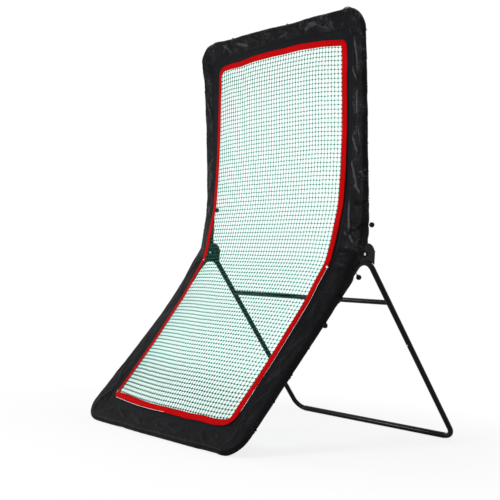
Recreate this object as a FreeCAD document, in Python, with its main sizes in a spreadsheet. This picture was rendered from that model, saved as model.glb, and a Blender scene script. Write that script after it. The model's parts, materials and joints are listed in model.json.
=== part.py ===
import FreeCAD, Part
import math
import os
import re
import Sketcher
from FreeCAD import Placement, Rotation, Vector

# Driving sizes in millimetres and degrees: the cells of the sheet that every piece reads.
SIZES = {
    # Three U shaped frames that meet at the hinges
    "half_width": 605,
    "frame_length": 1180,
    "rear_length": 1205,
    "lower_angle": 51,
    "upper_lean_angle": 6.2,
    # Steel tubes
    "tube_diameter": 28.6,
    "tube_wall": 1.2,
    "bar_diameter": 32,
    "crossbar_diameter": 25.4,
    "corner_radius": 95,
    "rear_corner_radius": 65,
    "corner_tail": 50,
    "arch_radius": 75,
    "fit_clearance": 0.1,
    "spigot_length": 48,
    "spigot_spare": 1.3,
    "shoulder_length": 4,
    "rear_stub": 505.3,
    "crossbar_drop": 299,
    # Spring buttons that lock the tube joints
    "lower_button_inset": 36,
    "rear_button_inset": 34,
    "button_diameter": 8,
    "button_rise": 3.5,
    "button_dome": 1.5,
    "button_flange": 11,
    "button_seat": 10,
    "spring_thickness": 0.8,
    "spring_width": 8,
    "spring_length": 44,
    # Hinges
    "cheek_radius": 51,
    "cheek_thickness": 2.5,
    "cheek_clearance": 0.5,
    "cheek_foot_radius": 84,
    "web_top": 17,
    "web_bottom": 42,
    "web_lip": 2.5,
    "web_lip_height": 4,
    "hub_radius": 22,
    "knuckle_thickness": 26,
    "washer_thickness": 1.6,
    "washer_diameter": 24,
    "tube_start": 46,
    "collar_height": 14,
    "pivot_diameter": 10,
    "pivot_head": 17,
    "pivot_head_height": 6.4,
    "clamp_diameter": 8,
    "clamp_head": 13,
    "clamp_head_height": 5.3,
    "clamp_radius": 27,
    "clamp_angle": 188,
    "clamp_boss": 10,
    "bolt_end": 2,
    "tilt_angle": 35,
    "slot_spare": 1.5,
    # Cloth cover, net and webbing
    "cloth_thickness": 2.5,
    "cloth_slack": 0.5,
    "back_slack": 2,
    "flap_length": 5,
    "side_border": 97,
    "end_border": 107,
    "band_width": 32,
    "band_thickness": 1.5,
    "seam_gap": 0.3,
    "net_thickness": 2,
    "net_cells": 12,
    "net_strand": 8,
    "hinge_gap": 95,
    "net_rise": 115,
    "net_reach": 800,
    "edge_rise": 60,
    "edge_reach": 300,
    # Elastic loops with balls that tie the cover to the tubes
    "loop_diameter": 4,
    "loop_clearance": 0.4,
    "loop_bend": 6,
    "ball_diameter": 24,
    "ball_standoff": 2.6,
    "strand_spacing": 6,
    "first_upper_loop": 152,
    "second_upper_loop": 263,
    "upper_loop_spacing": 136,
    "first_lower_loop": 119,
    "lower_loop_spacing": 153.5,
    "top_loop_spacing": 150,
}

LEFT, RIGHT = -1, 1
SIDES = {"left": LEFT, "right": RIGHT}
X_AXIS = Vector(1, 0, 0)
Y_AXIS = Vector(0, 1, 0)
Z_AXIS = Vector(0, 0, 1)

doc = FreeCAD.newDocument("pitching_target_net")
parts = []


def make_sheet():
    """Writes the driving sizes into a sheet, one named cell each."""
    cells = doc.addObject("Spreadsheet::Sheet", "Sizes")
    for row, (alias, value) in enumerate(SIZES.items(), 1):
        cells.set(f"A{row}", alias)
        cells.set(f"B{row}", str(value))
        cells.setAlias(f"B{row}", alias)
    doc.recompute()
    return cells


sheet = make_sheet()


def size(alias):
    """A driving size read back from the sheet."""
    return float(sheet.get(alias))


def cells_of(formula):
    """The formula with each word that names a size pointed at its cell."""
    return re.sub("[a-z_]+", lambda word: f"Sizes.{word[0]}" if word[0] in SIZES else word[0], formula)


def bind(obj, **formulas):
    """Binds properties of an object to formulas of the sheet's cells."""
    for name, formula in formulas.items():
        obj.setExpression(name, cells_of(formula))
    return obj


def keep(obj, node, placement=None):
    """Registers a finished sub-part under its node's name, at its place."""
    obj.Label = node
    if placement is not None:
        obj.Placement = placement
    parts.append(obj)


# Layout worked out from the driving sizes

HALF_WIDTH = size("half_width")
FRAME_LENGTH = size("frame_length")
TUBE_R = size("tube_diameter") / 2
BAR_R = size("bar_diameter") / 2
WRAP_R = BAR_R + size("cloth_slack") + size("cloth_thickness")
LOWER_ANGLE = math.radians(size("lower_angle"))
LEAN = math.radians(size("upper_lean_angle"))
BAR_Z = WRAP_R + size("back_slack") * math.cos(LOWER_ANGLE)
PIVOT_Z = BAR_Z + FRAME_LENGTH * math.sin(LOWER_ANGLE)
REAR_ANGLE = math.asin((PIVOT_Z - BAR_R) / size("rear_length"))
LOWER_DEPTH = FRAME_LENGTH * math.cos(LOWER_ANGLE)
REAR_DEPTH = size("rear_length") * math.cos(REAR_ANGLE)
# The origin lies on the floor, under the middle of the overall depth.
PIVOT_Y = (LOWER_DEPTH + WRAP_R - REAR_DEPTH - BAR_R) / 2
CHEEK_GAP = size("tube_diameter") + 2 * size("cheek_clearance")
BRACKET_WIDTH = CHEEK_GAP + 2 * size("cheek_thickness")
CHEEK_GAP_FORMULA = "(tube_diameter + 2 * cheek_clearance)"
BRACKET_WIDTH_FORMULA = "(tube_diameter + 2 * cheek_clearance + 2 * cheek_thickness)"
PIVOT = Vector(0, PIVOT_Y, PIVOT_Z)
# The arch tube bends at the hinge, and its straight ends hold the legs' spigots.
ARCH_TURN = LOWER_ANGLE + REAR_ANGLE
ARCH_TANGENT = size("arch_radius") * math.tan(ARCH_TURN / 2)
FRONT_STUB = size("spigot_length") + size("spigot_spare")
JOINTS = {"lower": ARCH_TANGENT + FRONT_STUB, "rear": ARCH_TANGENT + size("rear_stub")}


class Frame:
    """One flat frame: the direction from the hinge along its tubes, and its outward normal."""

    def __init__(self, along, normal):
        self.along = along
        self.normal = normal

    def point(self, x, along, out=0.0):
        return PIVOT + X_AXIS * x + self.along * along + self.normal * out


LOWER = Frame(Vector(0, -math.cos(LOWER_ANGLE), -math.sin(LOWER_ANGLE)),
              Vector(0, -math.sin(LOWER_ANGLE), math.cos(LOWER_ANGLE)))
UPPER = Frame(Vector(0, -math.sin(LEAN), math.cos(LEAN)),
              Vector(0, -math.cos(LEAN), -math.sin(LEAN)))
REAR = Frame(Vector(0, math.cos(REAR_ANGLE), -math.sin(REAR_ANGLE)),
             Vector(0, math.sin(REAR_ANGLE), math.cos(REAR_ANGLE)))


def axes_placement(origin, x_dir, z_dir):
    """The placement that carries local X and Z onto two directions at right angles."""
    return Placement(origin, Rotation(x_dir, z_dir.cross(x_dir), z_dir, "XYZ"))


def along_x(x, at=Vector()):
    """A placement that turns a primitive's Z axis onto +X, starting at x beside a point."""
    return Placement(at + X_AXIS * x, Rotation(Y_AXIS, 90))


def lifted(height):
    return Placement(Z_AXIS * height, Rotation())


# Building blocks

def origin_plane(body, role):
    return next(f for f in body.Origin.OriginFeatures if f.Role == role)


def new_sketch(body, name, role):
    """A sketch on one of its body's own planes."""
    sketch = body.newObject("Sketcher::SketchObject", name)
    sketch.AttachmentSupport = [(origin_plane(body, role), "")]
    sketch.MapMode = "FlatFace"
    return sketch


def constrain(sketch, formula, *rule):
    """Adds a measured constraint that follows a formula."""
    number = sketch.addConstraint(Sketcher.Constraint(*rule))
    sketch.setExpression(f"Constraints[{number}]", cells_of(formula))


def ring_sketch(body, name, outer, inner, lift="0"):
    """Two circles about the body's axis: the section of a tube."""
    sketch = new_sketch(body, name, "XY_Plane")
    sketch.setExpression("AttachmentOffset.Base.z", cells_of(lift))
    for number, diameter in enumerate((outer, inner)):
        start = 20.0 - number
        sketch.addGeometry(Part.Circle(Vector(), Z_AXIS, start), False)
        sketch.addConstraint(Sketcher.Constraint("Coincident", number, 3, -1, 1))
        constrain(sketch, diameter, "Diameter", number, 2 * start)
    return sketch


def add_ring(body, name, outer, inner, length, lift="0", down=False):
    """A length of tube padded along the body's axis."""
    pad = body.newObject("PartDesign::Pad", name)
    pad.Profile = ring_sketch(body, name + "_section", outer, inner, lift)
    pad.Reversed = down
    pad.setExpression("Length", cells_of(length))


def bend_path(body, name, run, radius, turn, tail):
    """A path up the body's axis, round one bend towards +X and along a straight tail."""
    sketch = new_sketch(body, name, "XZ_Plane")
    length, bend, tail_length = 100.0, 50.0, 60.0
    angle = math.radians(80)
    centre = Vector(bend, length, 0)
    leave = centre + Vector(-math.cos(angle), math.sin(angle), 0) * bend
    heading = Vector(math.sin(angle), math.cos(angle), 0)
    circle = Part.Circle(centre, Z_AXIS, bend)
    sketch.addGeometry(Part.LineSegment(Vector(), Vector(0, length, 0)), False)
    sketch.addGeometry(Part.ArcOfCircle(circle, math.pi - angle, math.pi), False)
    sketch.addGeometry(Part.LineSegment(leave, leave + heading * tail_length), False)
    for rule in (("Coincident", 0, 1, -1, 1), ("Vertical", 0),
                 ("Tangent", 0, 2, 1, 2), ("Tangent", 1, 1, 2, 1)):
        sketch.addConstraint(Sketcher.Constraint(*rule))
    constrain(sketch, run, "Distance", 0, length)
    constrain(sketch, radius, "Radius", 1, bend)
    constrain(sketch, tail, "Distance", 2, tail_length)
    constrain(sketch, f"({turn}) * 1 deg", "Angle", 2, 1, -2, 1, angle)
    return sketch


def bent_tube(name, run, radius, turn, tail):
    """A bent steel tube: its ring section swept along a bend path."""
    body = doc.addObject("PartDesign::Body", name + "_body")
    path = bend_path(body, name + "_path", run, radius, turn, tail)
    section = ring_sketch(body, name + "_ring", "tube_diameter", "tube_diameter - 2 * tube_wall")
    doc.recompute()
    pipe = body.newObject("PartDesign::AdditivePipe", name + "_pipe")
    pipe.Profile = section
    pipe.Spine = (path, ["Edge1", "Edge2", "Edge3"])
    return body


def cylinder(name, radius, height, placement=Placement(), angle="360"):
    """A cylinder along its own Z, or a sector of one that starts at its X."""
    obj = bind(doc.addObject("Part::Cylinder", name), Radius=radius, Height=height, Angle=angle)
    obj.Placement = placement
    return obj


def box(name, length, width, height, placement=Placement()):
    obj = bind(doc.addObject("Part::Box", name), Length=length, Width=width, Height=height)
    obj.Placement = placement
    return obj


def hexagon(name, across_flats, height, placement=Placement()):
    """A hexagonal prism, as a bolt's head or a nut."""
    obj = doc.addObject("Part::Prism", name)
    obj.Polygon = 6
    bind(obj, Circumradius=f"{across_flats} / sqrt(3)", Height=height)
    obj.Placement = placement
    return obj


def joined(name, *pieces):
    obj = doc.addObject("Part::MultiFuse", name)
    obj.Shapes = list(pieces)
    return obj


def cut(name, base, *tools):
    """The base with every tool taken away, checked to have lost material."""
    obj = doc.addObject("Part::Cut", name)
    obj.Base = base
    obj.Tool = tools[0] if len(tools) == 1 else joined(name + "_tools", *tools)
    doc.recompute()
    if not 0 < obj.Shape.Volume < base.Shape.Volume - 1e-3:
        raise RuntimeError(f"{name}: the cut removed nothing, or everything")
    return obj


# Steel tubes

SPIGOT = "tube_diameter - 2 * tube_wall - 2 * fit_clearance"
SPIGOT_BORE = "tube_diameter - 4 * tube_wall - 2 * fit_clearance"


def button_hole(name, place, hole):
    """A bore from the tube's axis out through one wall, in the body's own frame."""
    return cylinder(name, "button_diameter / 2 + fit_clearance", "tube_diameter",
                    place.inverse().multiply(hole))


def corner_leg(node, frame, side, start, length, radius):
    """A J shaped leg: from its start down the frame, round the corner and into the end bar."""
    body = bent_tube(node, f"{length} - {start} - {radius}", radius, "90", "corner_tail")
    place = axes_placement(frame.point(side * HALF_WIDTH, start), X_AXIS * -side, frame.along)
    return body, place


def add_spigot(body, node):
    """A swaged end that enters the next tube, up to a shoulder."""
    add_ring(body, node + "_shoulder", "tube_diameter", SPIGOT_BORE, "shoulder_length")
    add_ring(body, node + "_spigot", SPIGOT, SPIGOT_BORE,
             "spigot_length + shoulder_length / 2", "shoulder_length / 2", down=True)


def button_places(side):
    """The two spring buttons of a side: name, and the frame with its Z out through the wall."""
    lower = LOWER.point(side * HALF_WIDTH, JOINTS["lower"] - size("lower_button_inset"))
    rear = REAR.point(side * HALF_WIDTH, JOINTS["rear"] - size("rear_button_inset"))
    return {"lower": axes_placement(lower, LOWER.along, LOWER.normal),
            "rear": axes_placement(rear, REAR.along, REAR.normal * -1)}


def jointed_legs():
    """The lower and rear corner legs, whose spigots spring buttons lock into the arch tubes."""
    for word, side in SIDES.items():
        for name, frame, length, radius in (("lower", LOWER, "frame_length", "corner_radius"),
                                            ("rear", REAR, "rear_length", "rear_corner_radius")):
            node = f"{name}_leg_{word}"
            body, place = corner_leg(node, frame, side, JOINTS[name], length, radius)
            add_spigot(body, node)
            hole = button_hole(node + "_hole", place, button_places(side)[name])
            keep(cut(node, body, hole), node, place)


def upper_legs():
    """The upper corner legs, which sit on the hinge knuckles."""
    for word, side in SIDES.items():
        node = f"upper_leg_{word}"
        body, place = corner_leg(node, UPPER, side, size("tube_start"), "frame_length", "corner_radius")
        keep(body, node, place)


def end_bar(node, frame, length, radius):
    """The straight bar that joins two corner legs and takes their ends inside."""
    body = doc.addObject("PartDesign::Body", node + "_body")
    add_ring(body, node + "_tube", "bar_diameter", "tube_diameter + 2 * fit_clearance",
             f"2 * (half_width - {radius} - seam_gap)")
    reach = HALF_WIDTH - size(radius) - size("seam_gap")
    keep(body, node, axes_placement(frame.point(-reach, size(length)), frame.normal, X_AXIS))


def arch_tube(node, side):
    """The bent tube over the hinge: front stub, arch, and the upper part of the rear leg."""
    body = bent_tube(node, "spigot_length + spigot_spare", "arch_radius",
                     f"{math.degrees(ARCH_TURN)}", "rear_stub")
    place = axes_placement(LOWER.point(side * HALF_WIDTH, JOINTS["lower"]),
                           LOWER.normal * -1, LOWER.along * -1)
    holes = [button_hole(f"{node}_{name}_hole", place, hole)
             for name, hole in button_places(side).items()]
    keep(cut(node, body, *holes), node, place)


def crossbar():
    """The thinner bar between the rear legs, coped to fit them."""
    node = "rear_crossbar"
    body = doc.addObject("PartDesign::Body", node + "_body")
    add_ring(body, node + "_tube", "crossbar_diameter", "crossbar_diameter - 2 * tube_wall",
             "2 * half_width")
    place = axes_placement(REAR.point(-HALF_WIDTH, size("crossbar_drop")), REAR.normal, X_AXIS)
    copes = []
    for word, side in SIDES.items():
        start = size("crossbar_drop") - HALF_WIDTH / 4
        leg = axes_placement(REAR.point(side * HALF_WIDTH, start), X_AXIS, REAR.along)
        copes.append(cylinder(f"{node}_cope_{word}", "tube_diameter / 2 + fit_clearance",
                              "half_width / 2", place.inverse().multiply(leg)))
    keep(cut(node, body, *copes), node, place)


# Spring buttons

def snap_button(node, place):
    """A domed pin on a flange, which stands out through the walls of both tubes."""
    seat = lifted(size("button_seat") - size("spring_thickness"))
    flange = cylinder(node + "_flange", "button_flange / 2", "spring_thickness", seat)
    top = "tube_diameter / 2 + button_rise"
    pin = cylinder(node + "_pin", "button_diameter / 2",
                   f"{top} - button_dome - button_seat + spring_thickness", seat)
    dome = bind(doc.addObject("Part::Cone", node + "_dome"), Radius1="button_diameter / 2",
                Radius2="button_diameter / 2 - button_dome", Height="button_dome")
    dome.Placement = lifted(TUBE_R + size("button_rise") - size("button_dome"))
    keep(joined(node, flange, pin, dome), node, place)


def snap_spring(node, place):
    """The V shaped leaf behind a button: one arm under its flange, the other on the far wall."""
    reach, thick, half = size("spring_length"), size("spring_thickness"), size("spring_width") / 2
    near = size("button_seat") - 2 * thick
    arms = []
    for word, height in (("near", near), ("far", -near)):
        rise = math.degrees(math.atan2(height, reach))
        heading = Rotation(Y_AXIS, -rise)
        arm = box(f"{node}_{word}", f"spring_length / cos({rise})", "spring_width", "spring_thickness")
        arm.Placement = Placement(Vector(-reach, 0, 0) + heading.multVec(Vector(0, -half, -thick / 2)),
                                  heading)
        arms.append(arm)
    keep(joined(node, *arms), node, place)


# Hinges

def hinge_placement(side):
    return Placement(PIVOT + X_AXIS * (side * HALF_WIDTH), Rotation())


def clamp_direction(angle):
    """A direction about the hinge axis, counted from straight back towards up."""
    return Rotation(X_AXIS, angle).multVec(Y_AXIS)


def clamp_slot(node):
    """Tools for the curved slot through the cheeks, along which the clamp bolt travels."""
    half = size("tilt_angle") + size("slot_spare")
    first = size("clamp_angle") - half
    band = "(clamp_diameter / 2 + 2 * fit_clearance)"
    length = f"2 * {BRACKET_WIDTH_FORMULA}"
    start = X_AXIS * -BRACKET_WIDTH
    # Turned onto +X, a sector starts pointing down, a quarter turn before straight back.
    turned = Placement(start, Rotation(X_AXIS, first + 90).multiply(Rotation(Y_AXIS, 90)))
    outer = cylinder(node + "_slot_outer", f"clamp_radius + {band}", length, turned,
                     "2 * (tilt_angle + slot_spare)")
    inner = cylinder(node + "_slot_inner", f"clamp_radius - {band}", length, turned)
    tools = [cut(node + "_slot_sector", outer, inner)]
    for word, angle in (("low", first), ("high", first + 2 * half)):
        at = clamp_direction(angle) * size("clamp_radius")
        tools.append(cylinder(f"{node}_slot_{word}", band, length, along_x(-BRACKET_WIDTH, at)))
    return tools


def bracket(node, side):
    """The hinge bracket: two round topped cheeks joined by a web at the back, over the arch."""
    width, radius, plate = BRACKET_WIDTH, size("cheek_radius"), size("cheek_thickness")
    apex = math.pi - LOWER_ANGLE - REAR_ANGLE
    bend_centre = (LOWER.along + REAR.along).normalize() * (size("arch_radius") / math.sin(apex / 2))
    disc = cylinder(node + "_disc", "cheek_radius", BRACKET_WIDTH_FORMULA, along_x(-width / 2))
    skirt = box(node + "_skirt", BRACKET_WIDTH_FORMULA, "2 * cheek_radius", "arch_radius",
                Placement(Vector(-width / 2, -radius, -size("arch_radius")), Rotation()))
    lip = box(node + "_lip", BRACKET_WIDTH_FORMULA, "cheek_thickness + web_lip", "web_lip_height",
              Placement(Vector(-width / 2, radius - plate, size("web_top") - size("web_lip_height")),
                        Rotation()))
    inside = radius - plate
    gap = box(node + "_gap", CHEEK_GAP_FORMULA, "2 * cheek_radius", "4 * cheek_radius",
              Placement(Vector(-CHEEK_GAP / 2, inside - 2 * radius, -2 * radius), Rotation()))
    above = box(node + "_above", CHEEK_GAP_FORMULA, "cheek_radius", "cheek_radius",
                Placement(Vector(-CHEEK_GAP / 2, inside - plate, size("web_top")), Rotation()))
    below = box(node + "_below", CHEEK_GAP_FORMULA, "cheek_radius", "cheek_radius",
                Placement(Vector(-CHEEK_GAP / 2, inside - plate, -size("web_bottom") - radius), Rotation()))
    foot = cylinder(node + "_foot", "cheek_foot_radius", f"2 * {BRACKET_WIDTH_FORMULA}",
                    along_x(-width, bend_centre))
    pivot_hole = cylinder(node + "_pivot_hole", "pivot_diameter / 2 + fit_clearance",
                          f"2 * {BRACKET_WIDTH_FORMULA}", along_x(-width))
    outline = joined(node + "_outline", disc, skirt, lip)
    body = cut(node, outline, gap, above, below, foot, pivot_hole, *clamp_slot(node))
    keep(body, node, hinge_placement(side))


def knuckle(node, side):
    """The moulded knuckle between the cheeks, with a stem that carries the upper leg."""
    thick = size("knuckle_thickness")
    lean = Rotation(X_AXIS, size("upper_lean_angle"))
    clamp_at = clamp_direction(size("clamp_angle")) * size("clamp_radius")
    hub = cylinder(node + "_hub", "hub_radius", "knuckle_thickness", along_x(-thick / 2))
    stem = cylinder(node + "_stem", f"({SPIGOT}) / 2", "tube_start + spigot_length",
                    Placement(Vector(), lean))
    collar_start = size("tube_start") - size("collar_height") - size("seam_gap")
    collar = cylinder(node + "_collar", "tube_diameter / 2", "collar_height",
                      Placement(lean.multVec(Z_AXIS * collar_start), lean))
    boss = cylinder(node + "_boss", "clamp_boss", "knuckle_thickness", along_x(-thick / 2, clamp_at))
    turn = Rotation(X_AXIS, size("clamp_angle"))
    arm = box(node + "_arm", "knuckle_thickness", "clamp_radius", "2 * clamp_boss",
              Placement(turn.multVec(Vector(-thick / 2, 0, -size("clamp_boss"))), turn))
    solid = joined(node + "_solid", hub, stem, collar, boss, arm)
    pivot_hole = cylinder(node + "_pivot_hole", "pivot_diameter / 2 + fit_clearance",
                          "2 * knuckle_thickness", along_x(-thick))
    clamp_hole = cylinder(node + "_clamp_hole", "clamp_diameter / 2 + fit_clearance",
                          "2 * knuckle_thickness", along_x(-thick, clamp_at))
    keep(cut(node, solid, pivot_hole, clamp_hole), node, hinge_placement(side))


def bolt_and_nut(name, word, side, at, gap):
    """A hexagon bolt with its head on the outer cheek, and its nut on the inner one."""
    bolt, nut = f"hinge_{name}_bolt_{word}", f"hinge_{name}_nut_{word}"
    head_height = size(f"{name}_head_height")
    face = BRACKET_WIDTH / 2 + size(gap)
    tip = face + head_height + size("bolt_end")
    place = Placement(PIVOT + X_AXIS * (side * HALF_WIDTH) + at, Rotation(Y_AXIS, 90 * side))
    reach = f"({BRACKET_WIDTH_FORMULA} + 2 * {gap} + {name}_head_height + bolt_end)"
    head = hexagon(bolt + "_head", f"{name}_head", f"{name}_head_height", lifted(face))
    shank = cylinder(bolt + "_shank", f"{name}_diameter / 2", reach, lifted(-tip))
    keep(joined(bolt, head, shank), bolt, place)
    blank = hexagon(nut + "_blank", f"{name}_head", f"{name}_head_height", lifted(-face - head_height))
    bore = cylinder(nut + "_bore", f"{name}_diameter / 2 + fit_clearance / 2", reach,
                    lifted(-tip - size("bolt_end")))
    keep(cut(nut, blank, bore), nut, place)


def washers(node, side):
    """Two thin washers that fill the space between a knuckle and its cheeks."""
    rings = []
    middle = (CHEEK_GAP + size("knuckle_thickness")) / 4
    for label, sign in (("inner", -1), ("outer", 1)):
        start = sign * middle - size("washer_thickness") / 2
        blank = cylinder(f"{node}_{label}_blank", "washer_diameter / 2", "washer_thickness", along_x(start))
        bore = cylinder(f"{node}_{label}_bore", "pivot_diameter / 2 + fit_clearance",
                        "3 * washer_thickness", along_x(start - size("washer_thickness")))
        rings.append(cut(f"{node}_{label}", blank, bore))
    pair = doc.addObject("Part::Compound", node + "_pair")
    pair.Links = rings
    keep(pair, node, hinge_placement(side))


# Cloth cover, net and webbing

BAND_HALF = HALF_WIDTH - size("side_border")
NET_HALF = BAND_HALF - size("band_width") / 2
CLOTH_REACH = HALF_WIDTH - NET_HALF - size("seam_gap")
BAND_END = FRAME_LENGTH - size("end_border")
NET_END = BAND_END - size("band_width") / 2
END_START = NET_END + size("seam_gap")
LOOP_REACH = WRAP_R + size("loop_clearance") + size("loop_diameter") / 2


def net_height(along):
    """How far the net stands in front of the tubes: a parabola that rounds off the hinge's corner."""
    return WRAP_R + size("net_rise") * max(0.0, 1 - along / size("net_reach")) ** 2


def edge_height(along):
    """How far the cover's outer edge stands out: a straight slope up to the hinge."""
    return WRAP_R + size("edge_rise") * max(0.0, 1 - along / size("edge_reach"))


def sheet_height(along, inward):
    """Height of the border's front, straight between its outer edge and the net."""
    share = inward / CLOTH_REACH
    return edge_height(along) + (net_height(along) - edge_height(along)) * share


def stations(last):
    """Sections along a frame, closer together near the hinge."""
    steps = 8
    first = size("hinge_gap")
    return [first + (last - first) * (k / steps) ** 1.6 for k in range(steps + 1)]


def soft(node, shape):
    """A soft part, or a group of small ones, as a feature that holds a computed solid."""
    feature = doc.addObject("Part::Feature", node)
    feature.Shape = shape
    keep(feature, node)


def quarter(centre_height, radius, first, last):
    """The ends and middle of an arc about the tube's line, as pairs of outward distance and height."""
    angles = (first, (first + last) / 2, last)
    return [(radius * math.cos(a), centre_height + radius * math.sin(a)) for a in angles]


def closed_wire(outline, lift):
    """A closed wire through points and arcs, each carried into space by lift."""
    edges = []
    for k, item in enumerate(outline):
        following = outline[(k + 1) % len(outline)]
        end = item[-1] if isinstance(item, list) else item
        start = following[0] if isinstance(following, list) else following
        if isinstance(item, list):
            edges.append(Part.Arc(*(lift(*p) for p in item)).toShape())
        edges.append(Part.LineSegment(lift(*end), lift(*start)).toShape())
    return Part.Wire(edges)


def wrap_outline(edge):
    """The cover's section round a tube: from the crown over the outer side to a flap behind."""
    thick, back, flap = size("cloth_thickness"), size("back_slack"), size("flap_length")
    right_angle = math.pi / 2
    return [quarter(edge - WRAP_R, WRAP_R, right_angle, 0),
            quarter(-back, WRAP_R, 0, -right_angle),
            (-flap, -back - WRAP_R),
            (-flap, -back - WRAP_R + thick),
            quarter(-back, WRAP_R - thick, -right_angle, 0),
            quarter(edge - WRAP_R, WRAP_R - thick, 0, right_angle)]


def side_border(node, frame, side, loops):
    """The cover along one side: sections that lean forward near the hinge, joined by a loft."""
    wires = []
    for along in stations(NET_END):
        inner = net_height(along)
        outline = [(-CLOTH_REACH, inner)] + wrap_outline(edge_height(along))
        outline.append((-CLOTH_REACH, inner - size("cloth_thickness")))
        wires.append(closed_wire(outline, lambda out, height, at=along: frame.point(
            side * (HALF_WIDTH + out), at, height)))
    solid = Part.makeLoft(wires, True, True)
    slits = [slit(frame, side * (HALF_WIDTH - LOOP_REACH), along, X_AXIS * side)
             for along in loops if along < NET_END]
    soft(node, solid.cut(slits))


def slit(frame, x, along, outward):
    """A hole through the border's front, wide enough for an elastic loop's strand to bend in it."""
    radius = size("loop_bend") + size("loop_clearance")
    inner = size("loop_diameter") / 2 + size("loop_clearance")
    centre = frame.point(x, along) + outward * (radius - inner)
    return Part.makeCylinder(radius, size("net_rise"), centre, frame.normal)


def end_path(frame):
    """The centre line of an end's tubes: a short straight, a corner, the bar, and back."""
    radius = size("corner_radius")
    inset = radius * (1 - math.sqrt(0.5))
    corners = []
    for side in (RIGHT, LEFT):
        corners.append([frame.point(side * HALF_WIDTH, END_START),
                        frame.point(side * HALF_WIDTH, FRAME_LENGTH - radius),
                        frame.point(side * (HALF_WIDTH - inset), FRAME_LENGTH - inset),
                        frame.point(side * (HALF_WIDTH - radius), FRAME_LENGTH)])
    (start, near_in, near_mid, near_out), (finish, far_out, far_mid, far_in) = corners
    return Part.Wire([Part.LineSegment(start, near_in).toShape(),
                      Part.Arc(near_in, near_mid, near_out).toShape(),
                      Part.LineSegment(near_out, far_in).toShape(),
                      Part.Arc(far_in, far_mid, far_out).toShape(),
                      Part.LineSegment(far_out, finish).toShape()])


def end_border(node, frame, side_loops, bar_loops):
    """The cover across an end: a flat sheet with round corners, wrapped round bar and corners."""
    section = closed_wire(wrap_outline(WRAP_R), lambda out, height: frame.point(
        HALF_WIDTH + out, END_START, height))
    path = end_path(frame)
    wrap = path.makePipeShell([section], True, False)
    closing = Part.LineSegment(frame.point(-HALF_WIDTH, END_START), frame.point(HALF_WIDTH, END_START))
    plate = Part.Face(Part.Wire(path.Edges + [closing.toShape()]))
    plate.translate(frame.normal * (WRAP_R - size("cloth_thickness")))
    solid = wrap.fuse(plate.extrude(frame.normal * size("cloth_thickness"))).removeSplitter()
    slits = [slit(frame, side * (HALF_WIDTH - LOOP_REACH), along, X_AXIS * side)
             for side in (LEFT, RIGHT) for along in side_loops if along > END_START]
    slits += [slit(frame, x, FRAME_LENGTH - LOOP_REACH, frame.along) for x in bar_loops]
    soft(node, solid.cut(slits) if slits else solid)


def strip(frame, near, far, last, base, thick):
    """A sheet between two distances from the middle plane, at a height above the net's line."""
    wires = []
    for along in stations(last):
        low = net_height(along) + base
        corners = ((near, low), (far, low), (far, low + thick), (near, low + thick))
        points = [frame.point(x, along, height) for x, height in corners]
        wires.append(Part.makePolygon(points + points[:1]))
    return Part.makeLoft(wires, True, True)


def net_panel(node, frame):
    """The net from just past the hinges to under the end's webbing, with a coarser mesh than the real one."""
    thick, strand, start = size("net_thickness"), size("net_strand"), size("hinge_gap")
    panel = strip(frame, -NET_HALF, NET_HALF, NET_END, -thick, thick)
    width, length = 2 * NET_HALF - strand, NET_END - start - strand
    columns = int(size("net_cells"))
    pitch_across = width / columns
    rows = round(length / pitch_across)
    pitch_along = length / rows
    openings = []
    for column in range(columns):
        near = -NET_HALF + strand + column * pitch_across
        far = near + pitch_across - strand
        for row in range(rows):
            low = start + strand + row * pitch_along
            high = low + pitch_along - strand
            corners = [frame.point(*at) for at in ((near, low), (far, low), (far, high), (near, high))]
            opening = Part.Face(Part.makePolygon(corners + corners[:1]))
            openings.append(opening.extrude(frame.normal * (size("net_rise") + 2 * WRAP_R)))
    soft(node, panel.cut(openings))


def webbing(node, frame):
    """Flat webbing over the seam: a strip up each side and one across the end."""
    width, base, thick = size("band_width"), size("seam_gap"), size("band_thickness")
    across_start = BAND_END - width
    strips = [strip(frame, side * (BAND_HALF - width), side * BAND_HALF, across_start - base, base, thick)
              for side in (LEFT, RIGHT)]
    corners = [frame.point(x, along, WRAP_R + base)
               for x, along in ((-BAND_HALF, across_start), (BAND_HALF, across_start),
                                (BAND_HALF, BAND_END), (-BAND_HALF, BAND_END))]
    across = Part.Face(Part.makePolygon(corners + corners[:1])).extrude(frame.normal * thick)
    soft(node, Part.makeCompound(strips + [across]))


# Elastic loops and balls

def ball_height():
    """Height of a ball's centre, which lies behind the tube's line."""
    return -(LOOP_REACH + size("back_slack") + size("ball_standoff") + size("ball_diameter") / 2)


def rounded_path(points, radii):
    """Straight runs joined by tangent arcs, open at both ends."""
    edges = []
    last = points[0]
    for before, corner, after, radius in zip(points, points[1:], points[2:], radii):
        back, on = (before - corner).normalize(), (after - corner).normalize()
        half = back.getAngle(on) / 2
        centre = corner + (back + on).normalize() * (radius / math.sin(half))
        start, end = (corner + run * (radius / math.tan(half)) for run in (back, on))
        middle = centre + (corner - centre).normalize() * radius
        edges.append(Part.LineSegment(last, start).toShape())
        edges.append(Part.Arc(start, middle, end).toShape())
        last = end
    edges.append(Part.LineSegment(last, points[-1]).toShape())
    return Part.Wire(edges)


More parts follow.
